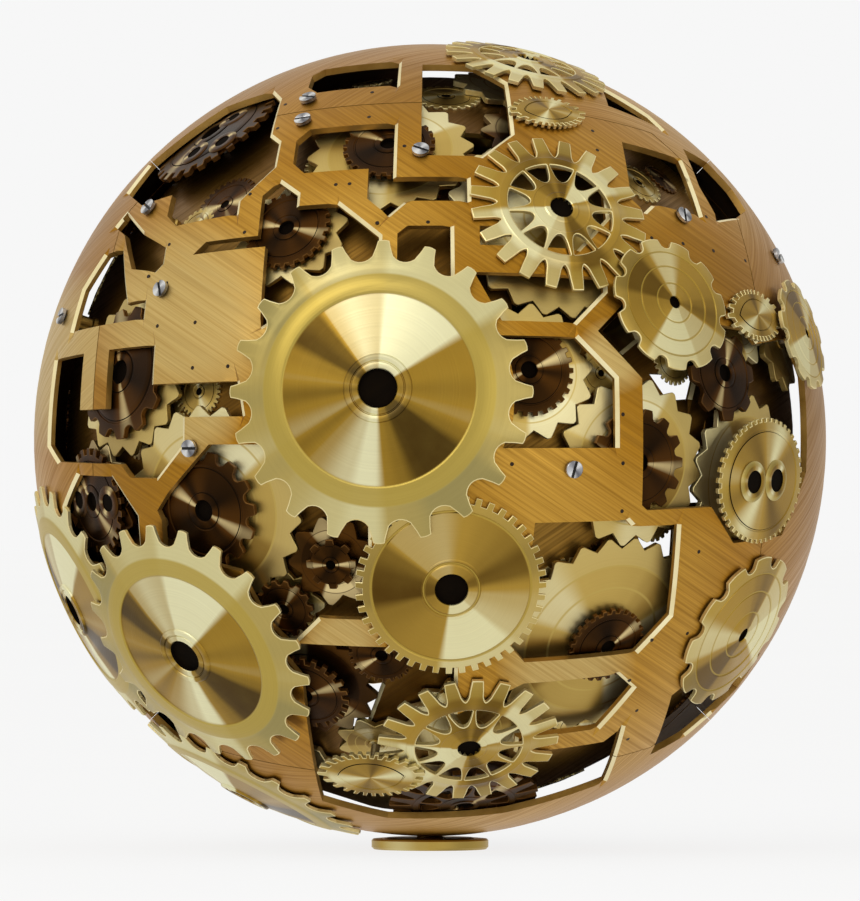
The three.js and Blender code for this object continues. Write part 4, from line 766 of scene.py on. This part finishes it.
def wheel(row):
    name, lev, kind, R, n, q, deep, d, gears = row
    d = np.array(d)
    lo, hi = BAND[lev]
    B = Build()
    dark = lev == "C"
    # tones and painted highlight sectors for the wheel face
    tones, sheen_fan = (DARK, PAINTED_SHEEN_DARK) if dark else (BRIGHT if kind == "sprocket" else GOLD, {"sprocket": PAINTED_SHEEN_GREAT, "fine": PAINTED_SHEEN_FINE, "paddle": PAINTED_SHEEN_PADDLE, "cog": PAINTED_SHEEN_COG}.get(kind, PAINTED_SHEEN_PLAIN))
    Rmm = hi * math.sin(R * DEG)
    seed = {"cog_wheel_1": 0.0, "cog_wheel_2": -.28, "cog_wheel_3": .1}.get(name, sum(map(ord, name)) % 17 / 17 if kind not in ("sprocket", "fine", "paddle") else 0.0)
    if kind == "sprocket":
        o = teeth(20, R, R * .853, tw=.24, rw=.32, steps=4, bottom="round", curve=R * .006)
        toothed(B, o, GREAT, hi, lo, hi)
    elif kind == "fine":
        o = teeth(44, R, R * .925, tw=.44, rw=.52, steps=2)
        toothed(B, o, FINE, hi, lo, hi, ch=.08)
    elif kind == "cog":
        o = teeth(11, R, R * .86, tw=.56, rw=.62, steps=5, bottom="round", curve=R * .01)
        toothed(B, o, COG, hi, lo, hi)
    elif kind == "lobed":
        shp = lambda a: oval(R * .97, R * .80)(a) / R
        o = teeth(44, R, R * .94, tw=.46, rw=.54, steps=2, shape=shp)
        o[:, 0] = np.minimum(o[:, 0], R)
        prof = [(0, -.05, 0), (.1, -.05, 0), (.80, -.12, 0), (.812, -.3, 1), (.83, -.3, 0), (.845, -.1, 0), (.90, -.1, 0)]
        toothed(B, o, prof, hi, lo, hi, ch=.07, ring_shape=shp)
    elif kind == "lens":
        b = max(q, .5) * 1.1
        shp = lambda a: (oval(R, R * b)(a) * .45 + almond(R, R * b * .94)(a) * .55) / R
        o = teeth(26, R, R * .84, tw=.40, rw=.58, steps=3, shape=shp)
        o[:, 0] = np.minimum(o[:, 0], R)
        shp2 = lambda a: almond(R, R * b * .94)(a) / R
        toothed(B, o, LENSP, hi, lo, hi, ch=.08, ring_shape=shp2)
    elif kind == "paddle":
        P = 2 * math.pi / 20
        o = np.array([(t * R, (k + s) * P) for k in range(20) for t, s in ((1, -.2), (1.0, -.07), (1.0, .07), (1, .2), (.88, .27), (.78, .33), (.745, .39), (.722, .45), (.714, .5), (.722, .55), (.745, .61), (.78, .67), (.88, .73))])
        S = 12
        holes = [petal(R, k * 2 * math.pi / S, (k + 1) * 2 * math.pi / S) for k in range(S)]
        prof = [(0, -.95), (R * .122, -.95), (R * .128, .0), (R * .14, .22), (R * .185, .25), (R * .20, .0), (R * .215, -.05), (R * .31, .0), (R * .32, .14), (R * .335, .0), (R * .60, -.14), (R * .612, .08), (R * .682, .08), (R * .698, -.14), (R, -.2)]
        rings = [p[0] for p in prof[1:11]] + [R * .608, R * .615, R * .680, R * .696]
        spoked(B, o, holes, rings, prof, hi, lo, hi)
    else:
        N = {"round": max(14, n), "teeth": n}[kind]
        if kind == "round":
            o = teeth(N + 8, R, R * q, tw=.42, rw=.56, steps=2)
        else:
            o = teeth(N, R, R * q, tw=.36, rw=.5, steps=4, bottom="round")
        toothed(B, o, INNERP, hi, lo, hi, ch=.09)
    foot = 91.0 if deep else 93.6
    rod(B, foot, lo + .2, ARBOR_R, hi, mat=3)
    for fl, (r, N) in gears.items():
        gl, gh = TRAIN[fl]
        train_gear(B, r, N, PH.get((name, fl), 0.0), gl, gh, hi, 4)
        rod(B, gl - .35, gh + .35, ARBOR_R * 1.9, hi, mat=4)
    bands = BANDS.get(kind, BANDS["other"])
    face = turned_painted_sheen(name + "_turned", Rmm, tones, sheen_fan, bands, 0.36 if not dark else 0.38, seed, at=local_matrix(d, hi))
    tooth = M_DTOOTH if dark else M_TOOTH
    far = max([g[0] for g in gears.values()], default=5.0)
    web = turned_painted_sheen(name + "_train", 96.0 * math.sin(far * DEG), DARK if sum(map(ord, name)) % 3 == 0 else PALE, PAINTED_SHEEN_COG, BANDS["cog"], 0.38, seed + .3, at=local_matrix(d, hi))
    ob = B.make(name + "_piece", [face, M_BORE_PAINTED_SHADE, tooth, M_ARBOR, web], local_matrix(d, hi), 26)
    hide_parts(name)
    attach(ob, name)
    return ob


def eye(name, body, chart, r_hi, rb, rc, tones, h=0.5, back=False):
    """Raised collar with a bore painted black as shade, fixed on a wheel or plate."""
    d = place(np.array([chart[0]]), np.array([chart[1]]), r_hi, back)[0]
    B = Build()
    lathe(B, [(0, r_hi + .06, 1), (rb, r_hi + .06, 1), (rb * 1.04, r_hi + h * .8, 1), (rb * 1.15, r_hi + h, 0), (rc * .8, r_hi + h, 0), (rc * .93, r_hi + h * .7, 0), (rc, r_hi + .05, 0), (rc, r_hi - .6, 0), (0, r_hi - .6, 0)], r_hi, 40)
    face = turned_painted_sheen(name + "_turned", r_hi * math.sin(rc * DEG), tones, PAINTED_SHEEN_PLAIN, BANDS["other"], 0.36, at=local_matrix(d, r_hi))
    ob = B.make(name, [face, M_BORE_PAINTED_SHADE], local_matrix(d, r_hi), 30)
    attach(ob, body)
    return ob


made = {row[0]: wheel(row) for row in WHEELS}
for k, c in enumerate(((54.0, -7.0), (59.9, -7.0))):
    eye("twin_eye_collar_%d" % (k + 1), "twin_eye_wheel", c, HIGH[0] - .55, 1.55, 2.9, BRIGHT, .45)
for k, c in enumerate(((-61.4, -10.5), (-53.8, -10.5))):
    eye("inner_eye_a_%d" % (k + 1), "inner_wheel_3", c, INNER[1] - .05, 1.25, 2.5, DARK, .35)
for k, c in enumerate(((-37.1, 53.3), (-36.6, 59.8), (-42.9, 52.4), (-42.8, 60.0))):
    eye("inner_eye_b_%d" % (k + 1), "inner_wheel_5", c, INNER[1] - .05, 1.15, 2.4, DARK, .35)


# ---- bosses on the mainplate, seen through the windows --------------------------------------------
RELIEF = [(-43.0, 2.9, 6.01, 34, 0), (-35.3, 7.4, 4.11, 30, 0), (-57.6, 32.3, 3.0, 16, 0), (2.8, 59.2, 5.38, 22, 0), (1.3, 46.3, 4.11, 22, 0), (35.2, 43.4, 4.27, 20, 0), (25.4, 9.9, 3.79, 20, 0), (37.7, 12.2, 3.79, 24, 0), (18.0, -0.1, 2.37, 20, 0), (20.5, -22.9, 5.7, 24, 0), (24.3, -46.8, 3.95, 22, 0), (42.7, -2.5, 4.43, 20, 0), (-14.0, -63.1, 4.43, 22, 0), (-25.3, -16.2, 3.48, 22, 0), (-17.4, -51.7, 3.79, 18, 0), (8.3, 60.6, 2.69, 22, 1), (8.2, 53.7, 2.69, 22, 1), (-6.0, 2.9, 3.16, 18, 0), (-54.7, -5.0, 3.79, 22, 1), (-27.5, -4.5, 4.11, 22, 0), (-16.1, 44.4, 4.11, 20, 0), (-10.1, 39.1, 3.16, 18, 1), (13.1, 8.8, 3.16, 20, 0), (41.0, -9.4, 3.16, 18, 0), (27.0, -34.0, 2.84, 20, 0), (33.0, -25.1, 3.79, 22, 1), (-33.6, 38.6, 5.7, 30, 1), (-38.8, 35.2, 3.79, 20, 0), (-17.8, 61.5, 4.11, 24, 1), (-10.4, 64.0, 3.16, 20, 0), (-1.5, 37.8, 3.16, 20, 1), (-5.9, 37.5, 2.69, 18, 0), (-57.4, 45.0, 3.48, 20, 1), (-62.2, 27.6, 3.79, 22, 0), (-66.7, 3.7, 4.74, 26, 1), (-46.6, 0.7, 3.79, 20, 1), (-20.6, -4.4, 3.48, 20, 0), (19.4, 19.1, 3.48, 20, 1), (34.7, -12.3, 3.48, 20, 0), (25.7, -18.1, 3.16, 20, 1), (40.2, 45.4, 3.16, 22, 1), (48.2, 42.0, 3.48, 20, 0), (-12.6, -41.1, 3.79, 22, 1), (-7.2, -64.8, 3.16, 20, 0), (23.6, -61.5, 4.11, 22, 0), (27.8, -40.7, 3.48, 20, 0), (50.0, -53.7, 4.11, 22, 1), (13.3, -70.4, 3.48, 20, 0)]
BOSS = [(0, -.3, 1), (.13, -.3, 1), (.14, -.05, 1), (.15, .02, 0), (.24, .02, 0), (.26, -.12, 1), (.275, -.12, 0), (.29, -.02, 0), (.68, -.08, 0), (.69, -.2, 1), (.71, -.2, 0), (.72, -.05, 0), (.80, -.05, 0)]
for k, (X, Y, R, n, dk) in enumerate(RELIEF):
    d = place(np.array([X]), np.array([Y]), 93.7, False)[0]
    R0, blocked = R, 999.0
    for poly in SIGHTS.values():
        for px, py in poly:
            e = place(np.array([float(px)]), np.array([float(py)]), 93.2, False)[0]
            blocked = min(blocked, math.degrees(math.acos(min(1.0, float(np.dot(d, e))))))
        if inside(np.array([[X, Y]]), poly)[0]:
            blocked = 0.0
    if blocked < R:
        R = blocked - .4  # stays clear of the openings
    if R < 3.0 or k + 1 in (13, 15, 23, 44):  # these four would meet an arbor
        continue
    B = Build()
    o = teeth(n, R, R * .86, tw=.42, rw=.56, steps=3, bottom="round")
    toothed(B, o, BOSS, 93.72, 93.1, 93.72, ch=.05)
    ob = B.make("boss_%d" % (k + 1), [turned_painted_sheen("boss_%d_turned" % (k + 1), 93.72 * math.sin(R * DEG), DARK if dk else PALE, PAINTED_SHEEN_PLAIN, BANDS["other"], .38, (k * .37) % 1, at=local_matrix(d, 93.72)), M_BORE_PAINTED_SHADE, M_TOOTH if not dk else M_DTOOTH], local_matrix(d, 93.72), 26)
    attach(ob, "frame")


# ---- plates -----------------------------------------------------------------------------------
def split(P, step, closed=True):
    out = []
    n = len(P)
    for k in range(n if closed else n - 1):
        a, b = np.array(P[k], float), np.array(P[(k + 1) % n], float)
        m = max(1, int(math.ceil(np.hypot(*(b - a)) / step)))
        out += [a + (b - a) * i / m for i in range(m)]
    if not closed:
        out.append(np.array(P[-1], float))
    return np.array(out)


def strips(poly, w=0.55):
    """Chamfer strips outside a window, on its right side (mirrored beyond the seams); their pale colour is a painted
    highlight of the edge that faces the light.
    """
    P = np.array(poly, float)
    if _ccw(P) < 0:
        P = P[::-1]
    n = len(P)
    e = np.roll(P, -1, 0) - P
    L = np.linalg.norm(e, axis=1)
    e = e / L[:, None]
    nrm = np.stack([e[:, 1], -e[:, 0]], -1)
    on = []
    for k in range(n):
        mid = (P[k] + P[(k + 1) % n]) / 2
        sx = -1 if abs(mid[0]) > SEAM else 1
        sy = -1 if abs(mid[1]) > SEAM else 1
        on.append(nrm[k][0] * sx - .15 * nrm[k][1] * sy > .5)
    quads = []
    for k in range(n):
        if not on[k]:
            continue
        kp, kn = (k - 1) % n, (k + 1) % n

        def corner(i, other, this):
            if on[other]:
                b = nrm[this] + nrm[other]
                l = (b * b).sum() / 2
                return P[i] + b / max(l, .5) * w
            return P[i] + nrm[this] * w
        quads.append(np.array([P[k], corner(k, kp, k), corner(kn, kn, k), P[kn]]))
    return P, quads


def seg_dist(V, A, Bp):
    d = Bp - A
    L = max(float((d * d).sum()), 1e-12)
    t = np.clip(((V - A) @ d) / L, 0, 1)
    return np.linalg.norm(V - (A + t[:, None] * d), axis=1)


def half_shell(back, R0, R1, windows, holes, plates, step=2.3):
    """One hemisphere of plates: returns {plate: (top points, bottom points, faces, face materials)}."""
    rmax = R1
    pts, edges = [], []

    def put(Q, closed=True):
        s = len(pts)
        pts.extend(np.asarray(Q).tolist())
        m = len(Q)
        edges.extend((s + k, s + (k + 1) % m) for k in range(m if closed else m - 1))

    lim = 2 * np.pi * np.arange(180) / 180
    put(np.stack([90 * np.cos(lim), 90 * np.sin(lim)], -1))
    cut, chamf = [], []
    for poly in windows:
        P, quads = strips(poly)
        Q = to_q(split(P, 1.4), rmax, back)
        cut.append(Q)
        put(Q)
        for q4 in quads:
            inner = to_q(split([q4[0], q4[3]], 1.4, False), rmax, back)
            outer = to_q(split([q4[1], q4[2]], 1.4, False), rmax, back)
            chamf.append((inner, outer))
            put(outer, False)
            put(np.array([inner[0], outer[0]]), False)
            put(np.array([inner[-1], outer[-1]]), False)
    for d, t in holes:
        d = np.array(d)
        if (d[1] > 0.02) != back and abs(d[1]) > 0.02:
            continue
        if (d[1] > 0) != back:
            continue
        u, v, w = basis(d)
        a = 2 * np.pi * np.arange(20) / 20
        P3 = w[None] * math.cos(t * DEG) + math.sin(t * DEG) * (np.cos(a)[:, None] * u + np.sin(a)[:, None] * v)
        qq = np.degrees(np.arccos(np.clip(P3[:, 1] * (1 if back else -1), -1, 1)))
        aa = np.arctan2(P3[:, 2], P3[:, 0])
        Q = np.stack([qq * np.cos(aa), qq * np.sin(aa)], -1)
        cut.append(Q)
        put(Q)
    shapes = {}
    if plates:
        for g in (-GAP, GAP):
            e = SEAM + g
            f = e - CORNER
            c = [(-f, -e), (f, -e), (e, -f), (e, f), (f, e), (-f, e), (-e, f), (-e, -f)]
            Q = to_q(split(c, 1.5), rmax, back)
            put(Q)
            shapes[g] = Q
        for sx in (1, -1):
            for sy in (1, -1):
                for o in (-.03, .03):
                    # diagonals between the side plates, as planes through the y axis
                    q = np.linspace(66, 90, 17)
                    X = sx * q / math.sqrt(2) + o * sx
                    Y = sy * q / math.sqrt(2) - o * sy
                    h = np.hypot(X, Y)
                    s = q / h
                    put(np.stack([X * s, Y * s], -1), False)
    # interior points
    g = []
    row = 0
    y = -90.0
    while y < 90:
        x = -90.0 + (row % 2) * step / 2
        while x < 90:
            if math.hypot(x, y) < 88.6:
                g.append((x, y))
            x += step
        y += step * .866
        row += 1
    g = np.array(g)
    allp = np.array(pts)
    far = np.ones(len(g), bool)
    for k in range(0, len(allp), 400):
        d2 = ((g[:, None, :] - allp[None, k:k + 400, :]) ** 2).sum(2).min(1)
        far &= d2 > (step * .42) ** 2
    for x in g[far].tolist():
        pts.append(x)
    V, F = cdt(pts, edges)
    cen = V[F].mean(1)
    rad = np.hypot(V[:, 0], V[:, 1])
    keep = np.hypot(cen[:, 0], cen[:, 1]) < 89.99
    for Q in cut:
        keep &= ~inside(cen, Q)
    V = np.where((rad > 89.7)[:, None] & (rad < 90.3)[:, None], V / np.maximum(rad, 1e-9)[:, None] * 90, V)
    low = np.zeros(len(V), bool)
    strip = np.zeros(len(F), bool)
    for inner, outer in chamf:
        for k in range(len(inner) - 1):
            low |= seg_dist(V, inner[k], inner[k + 1]) < 2e-3
        strip |= inside(cen, np.concatenate([inner, outer[::-1]]))
    D = dir_q(V, back)
    top = D * np.where(low, R1 - .62, R1)[:, None]
    bot = D * R0
    out = {}
    if plates:
        inn, outr = inside(cen, shapes[-GAP]), inside(cen, shapes[GAP])
        names = {"plate_back" if back else "plate_front": inn}
        x, yv = cen[:, 0], cen[:, 1]
        off = .03
        names["plate_left"] = ~outr & (-x - off > np.abs(yv))
        names["plate_right"] = ~outr & (x - off > np.abs(yv))
        names["plate_top"] = ~outr & (yv - off > np.abs(x))
        names["plate_bottom"] = ~outr & (-yv - off > np.abs(x))
    else:
        names = {"mainplate_back" if back else "mainplate_front": np.ones(len(F), bool)}
    for nme, sel in names.items():
        k = keep & sel
        out[nme] = (top, bot, F[k], strip[k])
    return out


def shell_piece(name, halves, mats):
    """Joins the halves of a plate, closes its walls and makes the object."""
    B = Build()
    keyed = {}
    P, faces, mt = [], [], []

    def pid(p):
        k = tuple(np.round(p, 4))
        if k not in keyed:
            keyed[k] = len(P)
            P.append(p)
        return keyed[k]

    count = {}
    solid = []
    for (top, bot, F, st), back in halves:
        for f, s in zip(F, st):
            f = tuple(f)
            if back:
                f = f[::-1]
            t = tuple(pid(top[i]) for i in f)
            b = tuple(pid(bot[i]) for i in f)
            if len(set(t)) < 3 or len(set(b)) < 3:
                continue
            faces.append(t)
            # chamfer strips take the painted highlight
            mt.append(1 if s else 0)
            faces.append(b[::-1])
            mt.append(3)
            for x in range(3):
                e = (t[x], t[(x + 1) % 3])
                count[e] = (b[x], b[(x + 1) % 3])
    for (i, j), (bi, bj) in count.items():
        if (j, i) not in count:
            faces.append((i, bi, bj, j))
            mt.append(2)
    P = np.array(P)
    B.add(P + C0, faces, mt)
    return B.make(name + "_piece", mats, None, 24)


BACKSET = set(BACK_WINDOWS)
plate_holes, main_holes = [], []
for row in WHEELS:
    if row[1] != "C":
        plate_holes.append((row[7], math.degrees(math.asin(PLATE_HOLE / 100.8))))
    if row[6]:
        main_holes.append((row[7], math.degrees(math.asin(MAIN_HOLE / 92.5))))
for nme, d, sl, lg in SCREWS:
    plate_holes.append((d, math.degrees(math.asin(1.3 / 100.8))))
halves = {}
for back in (False, True):
    wins = [p for n, p in WINDOWS.items() if not back or n in BACKSET]
    for n, v in half_shell(back, PLATE[0], PLATE[1], wins, plate_holes, True).items():
        halves.setdefault(n, []).append((v, back))
    sights = [p for n, p in SIGHTS.items() if not back or n in BACK_SIGHTS]
    for n, v in half_shell(back, MAIN[0], MAIN[1], sights, main_holes, False, 4.0).items():
        halves.setdefault(n, []).append((v, back))
for n, h in halves.items():
    if n.startswith("plate"):
        ob = shell_piece(n, h, [M_PLATES[n], M_EDGE_PAINTED_HIGHLIGHT, M_WALL, M_UNDER])
    else:
        ob = shell_piece(n, h, [M_MAIN, M_EDGE_PAINTED_HIGHLIGHT, M_WALL, M_UNDER])
    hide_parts(n)
    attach(ob, "frame")


# ---- screws, pillars, pins ------------------------------------------------------------------
def steel(name, at):
    N = Nodes(name)
    vec, x, y, z = N.obj(at)
    ang = N.math("ARCTAN2", y, x)
    fr = N.math("FRACT", N.math("ADD", N.math("MULTIPLY", ang, 1 / (2 * math.pi)), 1.0))
    # painted highlight and painted shade: grey sectors by angle round the screw axis
    f = N.ramp(fr, [(0, srgb(150, 150, 152)), (.12, srgb(216, 216, 216)), (.3, srgb(120, 120, 124)), (.5, srgb(186, 186, 188)), (.66, srgb(228, 228, 226)), (.85, srgb(96, 96, 100)), (1.0, srgb(150, 150, 152))], "EASE")
    fine = N.noise(vec, 900.0, 2.0, .6)
    col = N.mix(N.math("MULTIPLY", fine, .35), f, srgb(110, 110, 114))
    N.bump(fine, .15, .00005)
    return N.set(Base_Color=col, Metallic=.9, Roughness=N.math("ADD", .22, N.math("MULTIPLY", fine, .12)))


# painted shade: dark floor of the screw slots
M_SLOT_PAINTED_SHADE = simple_metal("slot_painted_shade", srgb(20, 19, 18), srgb(44, 42, 40), 300, .6, .5)


def screw(name, d, slot, long, back=False, node=True, r_in=None):
    B = Build()
    r0 = PLATE[1] + .12 if not node else PLATE[1] + .3
    org = r0 + 1.1
    Rm, wd, dp = 2.17, .34, .5
    sa = math.radians(slot)
    ex, ey = np.array([math.cos(sa), math.sin(sa)]), np.array([-math.sin(sa), math.cos(sa)])
    # base disc up to the slot floor
    n = 48
    a = 2 * np.pi * np.arange(n) / n
    ring_ = lambda rr, z: [(rr * math.cos(x), rr * math.sin(x), z) for x in a]
    pts = ring_(Rm - .02, -dp) + ring_(Rm, -dp - .02) + ring_(Rm, -1.0) + ring_(Rm - .15, -1.1) + [(0, 0, -dp), (0, 0, -1.1)]
    F = band(0, n, n) + band(n, 2 * n, n) + band(2 * n, 3 * n, n) + [(4 * n, k, (k + 1) % n) for k in range(n)] + [(3 * n + k, 4 * n + 1, 3 * n + (k + 1) % n) for k in range(n)]
    # the slot floor takes the painted shade
    B.add(pts, F, [1 if i >= 3 * n and i < 4 * n else 0 for i in range(len(F))])
    # two cheeks above it
    for side in (1, -1):
        h = math.asin(wd / Rm)
        arc = np.linspace(h, math.pi - h, 26)
        base = [ex * Rm * math.cos(t) + ey * side * Rm * math.sin(t) for t in arc]
        if side < 0:
            base = base[::-1]
        m = len(base)
        c = offset_loop(np.array(base), .16)
        up = [(p[0], p[1], 0.0) for p in c]
        mid = [(p[0], p[1], -.14) for p in base]
        low = [(p[0], p[1], -dp - .05) for p in base]
        ct = np.mean(c, 0)
        pts = up + mid + low + [(ct[0], ct[1], 0.02), (ct[0], ct[1], -dp - .05)]
        F = band(0, m, m) + band(m, 2 * m, m) + [(3 * m, k, (k + 1) % m) for k in range(m)] + [(2 * m + k, 3 * m + 1, 2 * m + (k + 1) % m) for k in range(m)]
        B.add(pts, F, 0)
    rod(B, (95.0 if long else 99.9), r0 + .05, .88, org, mat=2)
    ob = B.make(name + "_piece", [steel(name + "_steel", local_matrix(d, org)), M_SLOT_PAINTED_SHADE, M_ARBOR], local_matrix(d, org), 30)
    if node:
        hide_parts(name)
    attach(ob, "frame")
    return ob


for nme, d, sl, lg in SCREWS:
    screw(nme, d, sl, lg)
# pillars round the long screws, standing on the mainplates
for nme, d, sl, lg in SCREWS:
    if lg:
        B = Build()
        t = lambda mm, r: math.degrees(math.asin(mm / r))
        top, org = 99.75, 99.75
        lathe(B, [(0, 94.4, 1), (t(1.3, 94.4), 94.4, 1), (t(1.3, top), top - .1, 0), (t(1.5, top), top, 0), (t(2.2, top), top, 0), (t(2.4, top), top - .2, 0), (t(2.4, 98.6), 98.6, 0), (t(2.0, 98.2), 98.2, 0), (t(2.0, 94.6), 94.6, 0), (t(2.4, 94.2), 94.2, 0), (t(2.4, 92.4), 92.4, 0), (0, 92.4, 0)], org, 36)
        ob = B.make(nme.replace("screw", "pillar"), [M_TRAIN, M_BORE_PAINTED_SHADE], local_matrix(d, org), 30)
        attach(ob, "frame")

# foot
B = Build()
prof = [(0, 0), (14.4, 0), (15.0, .6), (15.0, 2.3), (14.6, 2.7), (13.6, 2.78), (12.9, 2.55), (11.8, 2.55), (11.2, 3.0), (3.6, 3.0), (3.0, 3.5), (3.0, 7.1), (2.8, 7.3), (0, 7.3)]
n = 96
a = 2 * np.pi * np.arange(n) / n
pts, rings = [], []
for r, z in prof:
    rings.append(len(pts))
    pts += [(0, 0, z)] if r == 0 else [(r * math.cos(x), r * math.sin(x), z) for x in a]
F = [(rings[0], rings[1] + (k + 1) % n, rings[1] + k) for k in range(n)]
for i in range(1, len(prof) - 2):
    F += [f[::-1] for f in band(rings[i], rings[i + 1], n)]
F += [(rings[-2] + k, rings[-2] + (k + 1) % n, rings[-1]) for k in range(n)]
B.add(pts, F, 0)
ob = B.make("foot_piece", [turned_painted_sheen("foot_turned", 15.0, GOLD, PAINTED_SHEEN_PLAIN, BANDS["other"], .34)], None, 28)
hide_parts("foot")
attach(ob, "frame")

# pin ends in the plates
PINS = [(-10.1, 60.7), (-10.2, 54.1), (-4.1, 47.2), (-14.8, 40.1), (-12.6, 40.1), (-8, 32.9), (-0.3, 32.9), (14, 25.6), (-26, 60.3), (-26.3, 53.8), (-29.2, 39.9), (-29.3, 32.8), (-43.5, 32.6), (-47, 27.3), (-42.8, 25.5), (-43.8, 18.3), (-36.6, 18.3), (-36.6, 11.1), (-30.5, 11.1),
        (28.8, 3.8), (28.8, -3.5), (28.8, -10.7), (35.8, -32.3), (42.7, -32.1), (44.2, -39), (32.7, -39.4), (35.3, -46.2), (35, -52.9), (43, -17.9), (11.8, -3.5), (10.3, -10.6), (35.8, 32.6), (41.9, 32.5), (48.4, 32.3), (56.3, 32), (48.5, 39.2), (46.3, 39.2), (28.2, 53.6), (28.3, 49.0)]
B = Build()
ok = 0
for X, Y in PINS:
    if any(inside(np.array([[X, Y]]), p)[0] for p in WINDOWS.values()):
        continue
    for back in (False, True):
        if back and any(inside(np.array([[X, Y]]), WINDOWS[n])[0] for n in BACK_WINDOWS):
            continue
        d = place(np.array([float(X)]), np.array([float(Y)]), PLATE[1], back)[0]
        u, v, w = basis(d)
        n = 14
        a = 2 * np.pi * np.arange(n) / n
        loops = []
        for rr, r in ((.20, PLATE[1] + .05), (.46, PLATE[1] + .05), (.52, PLATE[1] - .02), (.52, PLATE[1] - .5)):
            loops += [w * r + rr * (math.cos(x) * u + math.sin(x) * v) for x in a]
        loops += [w * (PLATE[1] + .0), w * (PLATE[1] - .5)]
        F = [(4 * n, k, (k + 1) % n) for k in range(n)] + band(0, n, n) + band(n, 2 * n, n) + band(2 * n, 3 * n, n) + [(3 * n + k, 4 * n + 1, 3 * n + (k + 1) % n) for k in range(n)]
        B.add(np.array(loops) + C0, F, 0)
        ok += 1
ob = B.make("pin_ends", [simple_metal("pin_black", srgb(24, 14, 4), srgb(46, 28, 9), 400, .5, .6)], None, 30)
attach(ob, "frame")

# ---- stage ------------------------------------------------------------------------------------
sc = bpy.context.scene
sc.view_settings.view_transform = "Standard"
world = bpy.data.worlds.new("studio")
sc.world = world
world.use_nodes = True
wt = world.node_tree
wt.nodes.clear()
wo = wt.nodes.new("ShaderNodeOutputWorld")
mixw = wt.nodes.new("ShaderNodeMixShader")
lp = wt.nodes.new("ShaderNodeLightPath")
flat = wt.nodes.new("ShaderNodeBackground")
flat.inputs[0].default_value = (.93, .93, .93, 1)
flat.inputs[1].default_value = 1.0
env = wt.nodes.new("ShaderNodeBackground")
env.inputs[1].default_value = 0.95
tc = wt.nodes.new("ShaderNodeTexCoord")
sp = wt.nodes.new("ShaderNodeSeparateXYZ")
wt.links.new(tc.outputs["Generated"], sp.inputs[0])
m1 = wt.nodes.new("ShaderNodeMath"); m1.operation = "MULTIPLY_ADD"
m1.inputs[1].default_value = -.16; m1.inputs[2].default_value = .5
wt.links.new(sp.outputs[0], m1.inputs[0])
m2 = wt.nodes.new("ShaderNodeMath"); m2.operation = "MULTIPLY_ADD"
m2.inputs[1].default_value = .34
wt.links.new(sp.outputs[2], m2.inputs[0])
wt.links.new(m1.outputs[0], m2.inputs[2])
cr = wt.nodes.new("ShaderNodeValToRGB")
cr.color_ramp.elements[0].position = 0.05
cr.color_ramp.elements[0].color = (.34, .33, .31, 1)
cr.color_ramp.elements[1].position = 0.9
cr.color_ramp.elements[1].color = (1.15, 1.14, 1.1, 1)
wt.links.new(m2.outputs[0], cr.inputs[0])
wt.links.new(cr.outputs[0], env.inputs[0])
wt.links.new(lp.outputs["Is Camera Ray"], mixw.inputs[0])
wt.links.new(env.outputs[0], mixw.inputs[1])
wt.links.new(flat.outputs[0], mixw.inputs[2])
wt.links.new(mixw.outputs[0], wo.inputs[0])

fm = bpy.data.meshes.new("floor")
n = 64
fm.from_pydata([(9 * math.cos(2 * math.pi * k / n), 9 * math.sin(2 * math.pi * k / n), 0.0) for k in range(n)], [], [tuple(range(n))])
floor = bpy.data.objects.new("floor", fm)
sc.collection.objects.link(floor)
N = Nodes("pale_floor")
vec, x, y, z = N.obj()
nn = N.noise(vec, 3.0, 2.0, .5)
colr = N.ramp(nn, [(.3, (.098, .098, .098, 1)), (.7, (.102, .102, .102, 1))])
N.set(Base_Color=colr, Roughness=1.0, Metallic=0.0, Specular_IOR_Level=0.0)
em = N.node("ShaderNodeEmission")
em.inputs[0].default_value = (.83, .83, .83, 1)
mx = N.node("ShaderNodeAddShader")
N.link(N.bsdf.outputs[0], mx.inputs[0])
N.link(em.outputs[0], mx.inputs[1])
N.link(mx.outputs[0], N.out.inputs[0])
fm.materials.append(N.mat)


def area(name, loc, size, power, target=(0, 0, .105), color=(1, .98, .94)):
    L = bpy.data.lights.new(name, "AREA")
    L.shape = "DISK"
    L.size = size
    L.energy = power
    L.color = color
    o = bpy.data.objects.new(name, L)
    sc.collection.objects.link(o)
    o.location = loc
    o.rotation_mode = "QUATERNION"
    o.rotation_quaternion = (Vector(target) - Vector(loc)).to_track_quat("-Z", "Y")
    return o


area("key", (-.75, -1.15, 1.05), .9, 4.5)
area("fill", (.9, -1.3, .35), 1.2, 3, color=(1, 1, 1))

cam = bpy.data.cameras.new("camera")
cam.sensor_width = 36.0
cam.lens = 36.0 * 11612.6 / 901 * 1.006
cam.clip_start, cam.clip_end = .1, 50
co = bpy.data.objects.new("camera", cam)
sc.collection.objects.link(co)
co.location = (0.0, -3.0, .10234)
co.rotation_euler = (math.pi / 2, 0, 0)
sc.camera = co
